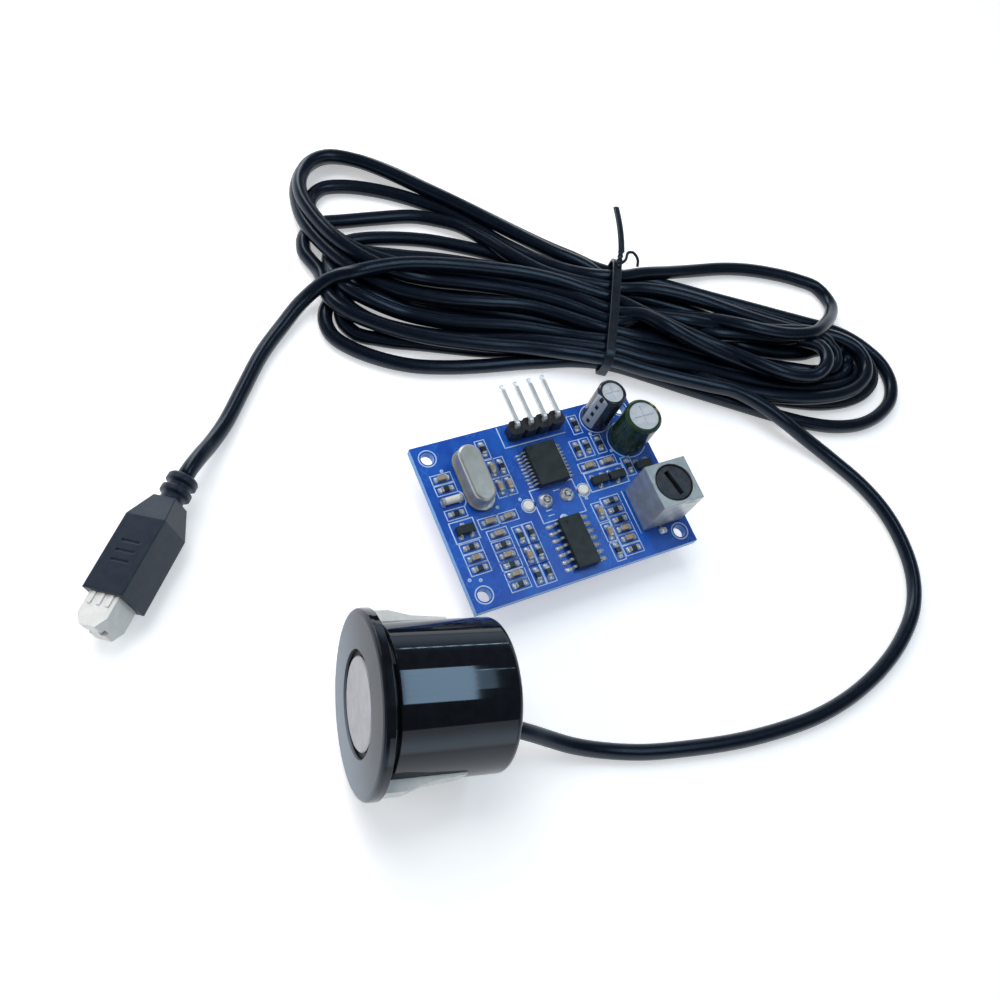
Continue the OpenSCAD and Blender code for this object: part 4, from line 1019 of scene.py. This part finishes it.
# Closed run of the band in the plane of the tie: distance along it and height, with a top crowned as a
# parabola and quarter circles at the corners, half as wide at the bottom
def bandRun():
    turn = math.radians(tie["turn"])
    along = np.array([math.cos(turn), math.sin(turn), 0])
    h, low, top, r = tie["half"], tie["bottom"], tie["top"], tie["corner"]
    corner = np.linspace(0, np.pi / 2, tie["cornerPoints"])
    flat = np.linspace(-h + r, h - r, tie["flatPoints"])
    upper = [(v, top + tie["crown"] * (1 - (v / h) ** 2)) for v in flat]
    right = [(h - r + r * np.sin(t), top - r + r * np.cos(t) + tie["cornerLift"]) for t in corner[1:]]
    under = [(h - r / 2 * (1 - np.cos(t)), low + r / 2 * (1 - np.sin(t))) for t in corner]
    lower = [(v, low) for v in flat[::-1]]
    left = [(-p[0], p[1]) for p in under[::-1]]
    rise = [(-p[0], p[1]) for p in right[::-1]]
    run = np.array(upper + right + under + lower[1:-1] + left + rise)
    middle = np.array([*tie["at"], 0])
    return middle + run[:, :1] * along + np.array([0, 0, 1]) * run[:, 1:], along


# Ring surface: the band's profile carried round the closed run, its flat side facing outwards
def makeBand():
    run, along = bandRun()
    x = evenly(np.vstack([run, run[:1]]), tie["step"])[:-1]
    ahead = unit(np.roll(x, -1, axis=0) - np.roll(x, 1, axis=0))
    aside = np.cross(along, [0, 0, 1])
    out = np.cross(ahead, aside)
    profile = bandProfile(tie["width"], tie["thickness"], tie["profile"])
    rings = x[:, None] + profile[None, :, :1] * aside + profile[None, :, 1:] * out[:, None]
    return gridSurface("tie_band", np.vstack([rings, rings[:1]]) * mm, "tie_cover", capped=False)


# Two wires wound round each other along a line: each stands off it by part of its width, at an angle that
# grows evenly with the way along, half a turn from the other's
def makeKnot(part):
    line = splineThrough(fromSeen(np.array(part["line"])), part["step"])
    share = np.linspace(0, 1, len(line))
    ahead = unit(np.gradient(line, axis=0))
    aside = unit(np.cross(ahead, part["aside"]))
    over = np.cross(ahead, aside)
    ring = circleProfile(part["wire"] * mm, part["sides"])
    for k in (0, 1):
        angle = 2 * np.pi * (share * part["turns"] + k / 2)
        off = aside * np.cos(angle)[:, None] + over * np.sin(angle)[:, None]
        x = line + off * part["wire"] * part["offset"]
        gridSurface("tie_knot_%d" % k, carried(x * mm, ring), "tie_cover")


# Wire along a line, its round section pressed flat by the given share
def makeWire(name, part):
    line = splineThrough(fromSeen(np.array(part["line"])), tie["wireStep"])
    ring = circleProfile(part["wide"] * mm, tie["wireSides"]) * (1, part["flat"])
    gridSurface(name, carried(line * mm, ring), "tie_cover")


tieBand = makeBand()
makeKnot(tie["knot"])
for name, part in tie["wires"].items():
    makeWire(name, part)
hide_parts("twist_tie")
print("tie made")


# Pale floor, studio light and white surroundings. A lamp has its name, place, width and length, the
# direction of its length, its power and whether shiny things mirror it. A mirrored patch is seen on the
# probe's barrel, between two ways along its axis and two angles round it, cut into columns and rows; its
# fields fill part of their column's width and have their own glare
studio = {
    "floorSize": 4.0,
    "floorColor": (0.9, 0.895, 0.9),
    "wallColor": (0.74, 0.86, 1.0),
    "ceilingColor": (0.07, 0.08, 0.09),
    "ceilingFrom": (0.1, 0.5),
    "floorGlow": 0.42,
    "lamps": [
        ("key", (-60, 180, 330), (250, 250), (0, 1, 0), 0.8, False),
        ("back", (-40, 330, 170), (300, 90), (1, 0, 0), 0.35, True),
        ("left", (-320, 40, 200), (180, 180), (0, 1, 0), 0.3, False),
        ("front", (20, -330, 30), (320, 110), (1, 0, 0), 0.08, True),
    ],
    "mirrored": [
        ("window", (3.2, 13.2), (-7.5, 15.5), (1, 5), 1.0, 6.5),
        ("window_side", (13.2, 16.2), (-5, 9), (1, 3), 1.0, 2.0),
        ("dash", (3.5, 20.5), (-24.6, -24.0), (8, 1), 0.72, 11),
        ("glint", (13.6, 20.5), (-4.3, -3.9), (3, 1), 0.6, 8),
    ],
    "mirrorReach": 300,
    "mirrorTint": (0.6, 0.82, 1),
}


# Square floor on the table's level; seen directly, mirrored or through glass it also glows a little, and it
# lights nothing by that
def makeFloor(size):
    h = size / 2
    mesh = bpy.data.meshes.new("floor")
    mesh.from_pydata([(x, y, tableHeight) for x, y in ((-h, -h), (h, -h), (h, h), (-h, h))], [], [(0, 1, 2, 3)])
    finish = Finish("floor")
    matt = finish.node("BsdfDiffuse", {}, {"Color": (*studio["floorColor"], 1)})
    seen, mirrored, through = [
        finish.node("LightPath", out="Is %s Ray" % ray) for ray in ("Camera", "Glossy", "Transmission")]
    shown = (seen + mirrored + through) * studio["floorGlow"]
    glow = finish.node("Emission", {}, {"Color": (1, 1, 1, 1), "Strength": shown})
    both = finish.node("AddShader", {}, {0: matt, 1: glow})
    finish.node("OutputMaterial", {}, {"Surface": both})
    mesh.materials.append(finish.material)
    placed("floor", mesh)


# Soft box turned to its aim: its back looks away from it and its length lies along the given direction
def addLamp(name, place, aim, size, long, power, mirrored, tint=(1, 1, 1)):
    data = bpy.data.lights.new(name, "AREA")
    data.shape = "RECTANGLE"
    data.size, data.size_y = size[0] * mm, size[1] * mm
    data.energy = power
    data.color = tint
    lamp = placed(name, data)
    lamp.visible_glossy = mirrored
    back = unit(np.subtract(place, aim))
    side = unit(np.cross(long, back))
    turnTo(lamp, (side, np.cross(back, side), back), place)


# Where a lamp must stand to be mirrored to the camera at a place on the barrel: the sight line from the
# camera to that place, turned back about the barrel's normal there
def mirrorSpot(along, angle):
    middle, _, _, axis = probeAxes()
    up = unit(np.array([0, 0, 1]) - axis * axis[2])
    normal = up * math.cos(math.radians(angle)) + np.cross(axis, up) * math.sin(math.radians(angle))
    spot = middle + axis * along + normal * probe["barrel"] / 2
    sight = unit(spot - np.array(cameraView["place"]))
    return spot, spot + (sight - 2 * np.dot(sight, normal) * normal) * studio["mirrorReach"]


# One field of a mirrored patch, as wide and tall as its edges' mirror places lie apart; power is glare
# times pi times area
def addMirrored(name, ways, angles, fill, glare):
    way, angle = sum(ways) / 2, sum(angles) / 2
    spot, place = mirrorSpot(way, angle)
    across = mirrorSpot(ways[1], angle)[1] - mirrorSpot(ways[0], angle)[1]
    along = mirrorSpot(way, angles[1])[1] - mirrorSpot(way, angles[0])[1]
    wide, tall = np.linalg.norm(across) * fill, np.linalg.norm(along)
    power = glare * math.pi * wide * tall * mm * mm
    addLamp(name, place, spot, (wide, tall), along, power, True, studio["mirrorTint"])


# The studio's lamps, aimed at the origin, and every field of the mirrored patches
def makeLamps():
    for name, place, size, long, power, mirrored in studio["lamps"]:
        addLamp(name, place, (0, 0, 0), size, long, power, mirrored)
    for name, ways, angles, (columns, rows), fill, glare in studio["mirrored"]:
        ways, angles = np.linspace(*ways, columns + 1), np.linspace(*angles, rows + 1)
        for i in range(columns):
            for j in range(rows):
                addMirrored("%s_%d_%d" % (name, i, j), ways[i:i + 2], angles[j:j + 2], fill, glare)


# White walls all round, darker towards the ceiling
def makeSurround():
    world = bpy.data.worlds.new("surround")
    bpy.context.scene.world = world
    world.use_nodes = True
    surround = Finish("surround_nodes", world)
    height = surround.axes(surround.node("TexCoord", out="Generated"))[2]
    ceiling = surround.ramp(height, *studio["ceilingFrom"])
    color = surround.blend(ceiling, studio["wallColor"], studio["ceilingColor"])
    light = surround.node("Background", {}, {"Color": color, "Strength": 1.0})
    surround.node("OutputWorld", {}, {"Surface": light})


makeFloor(studio["floorSize"])
makeLamps()
makeSurround()
print("studio made")
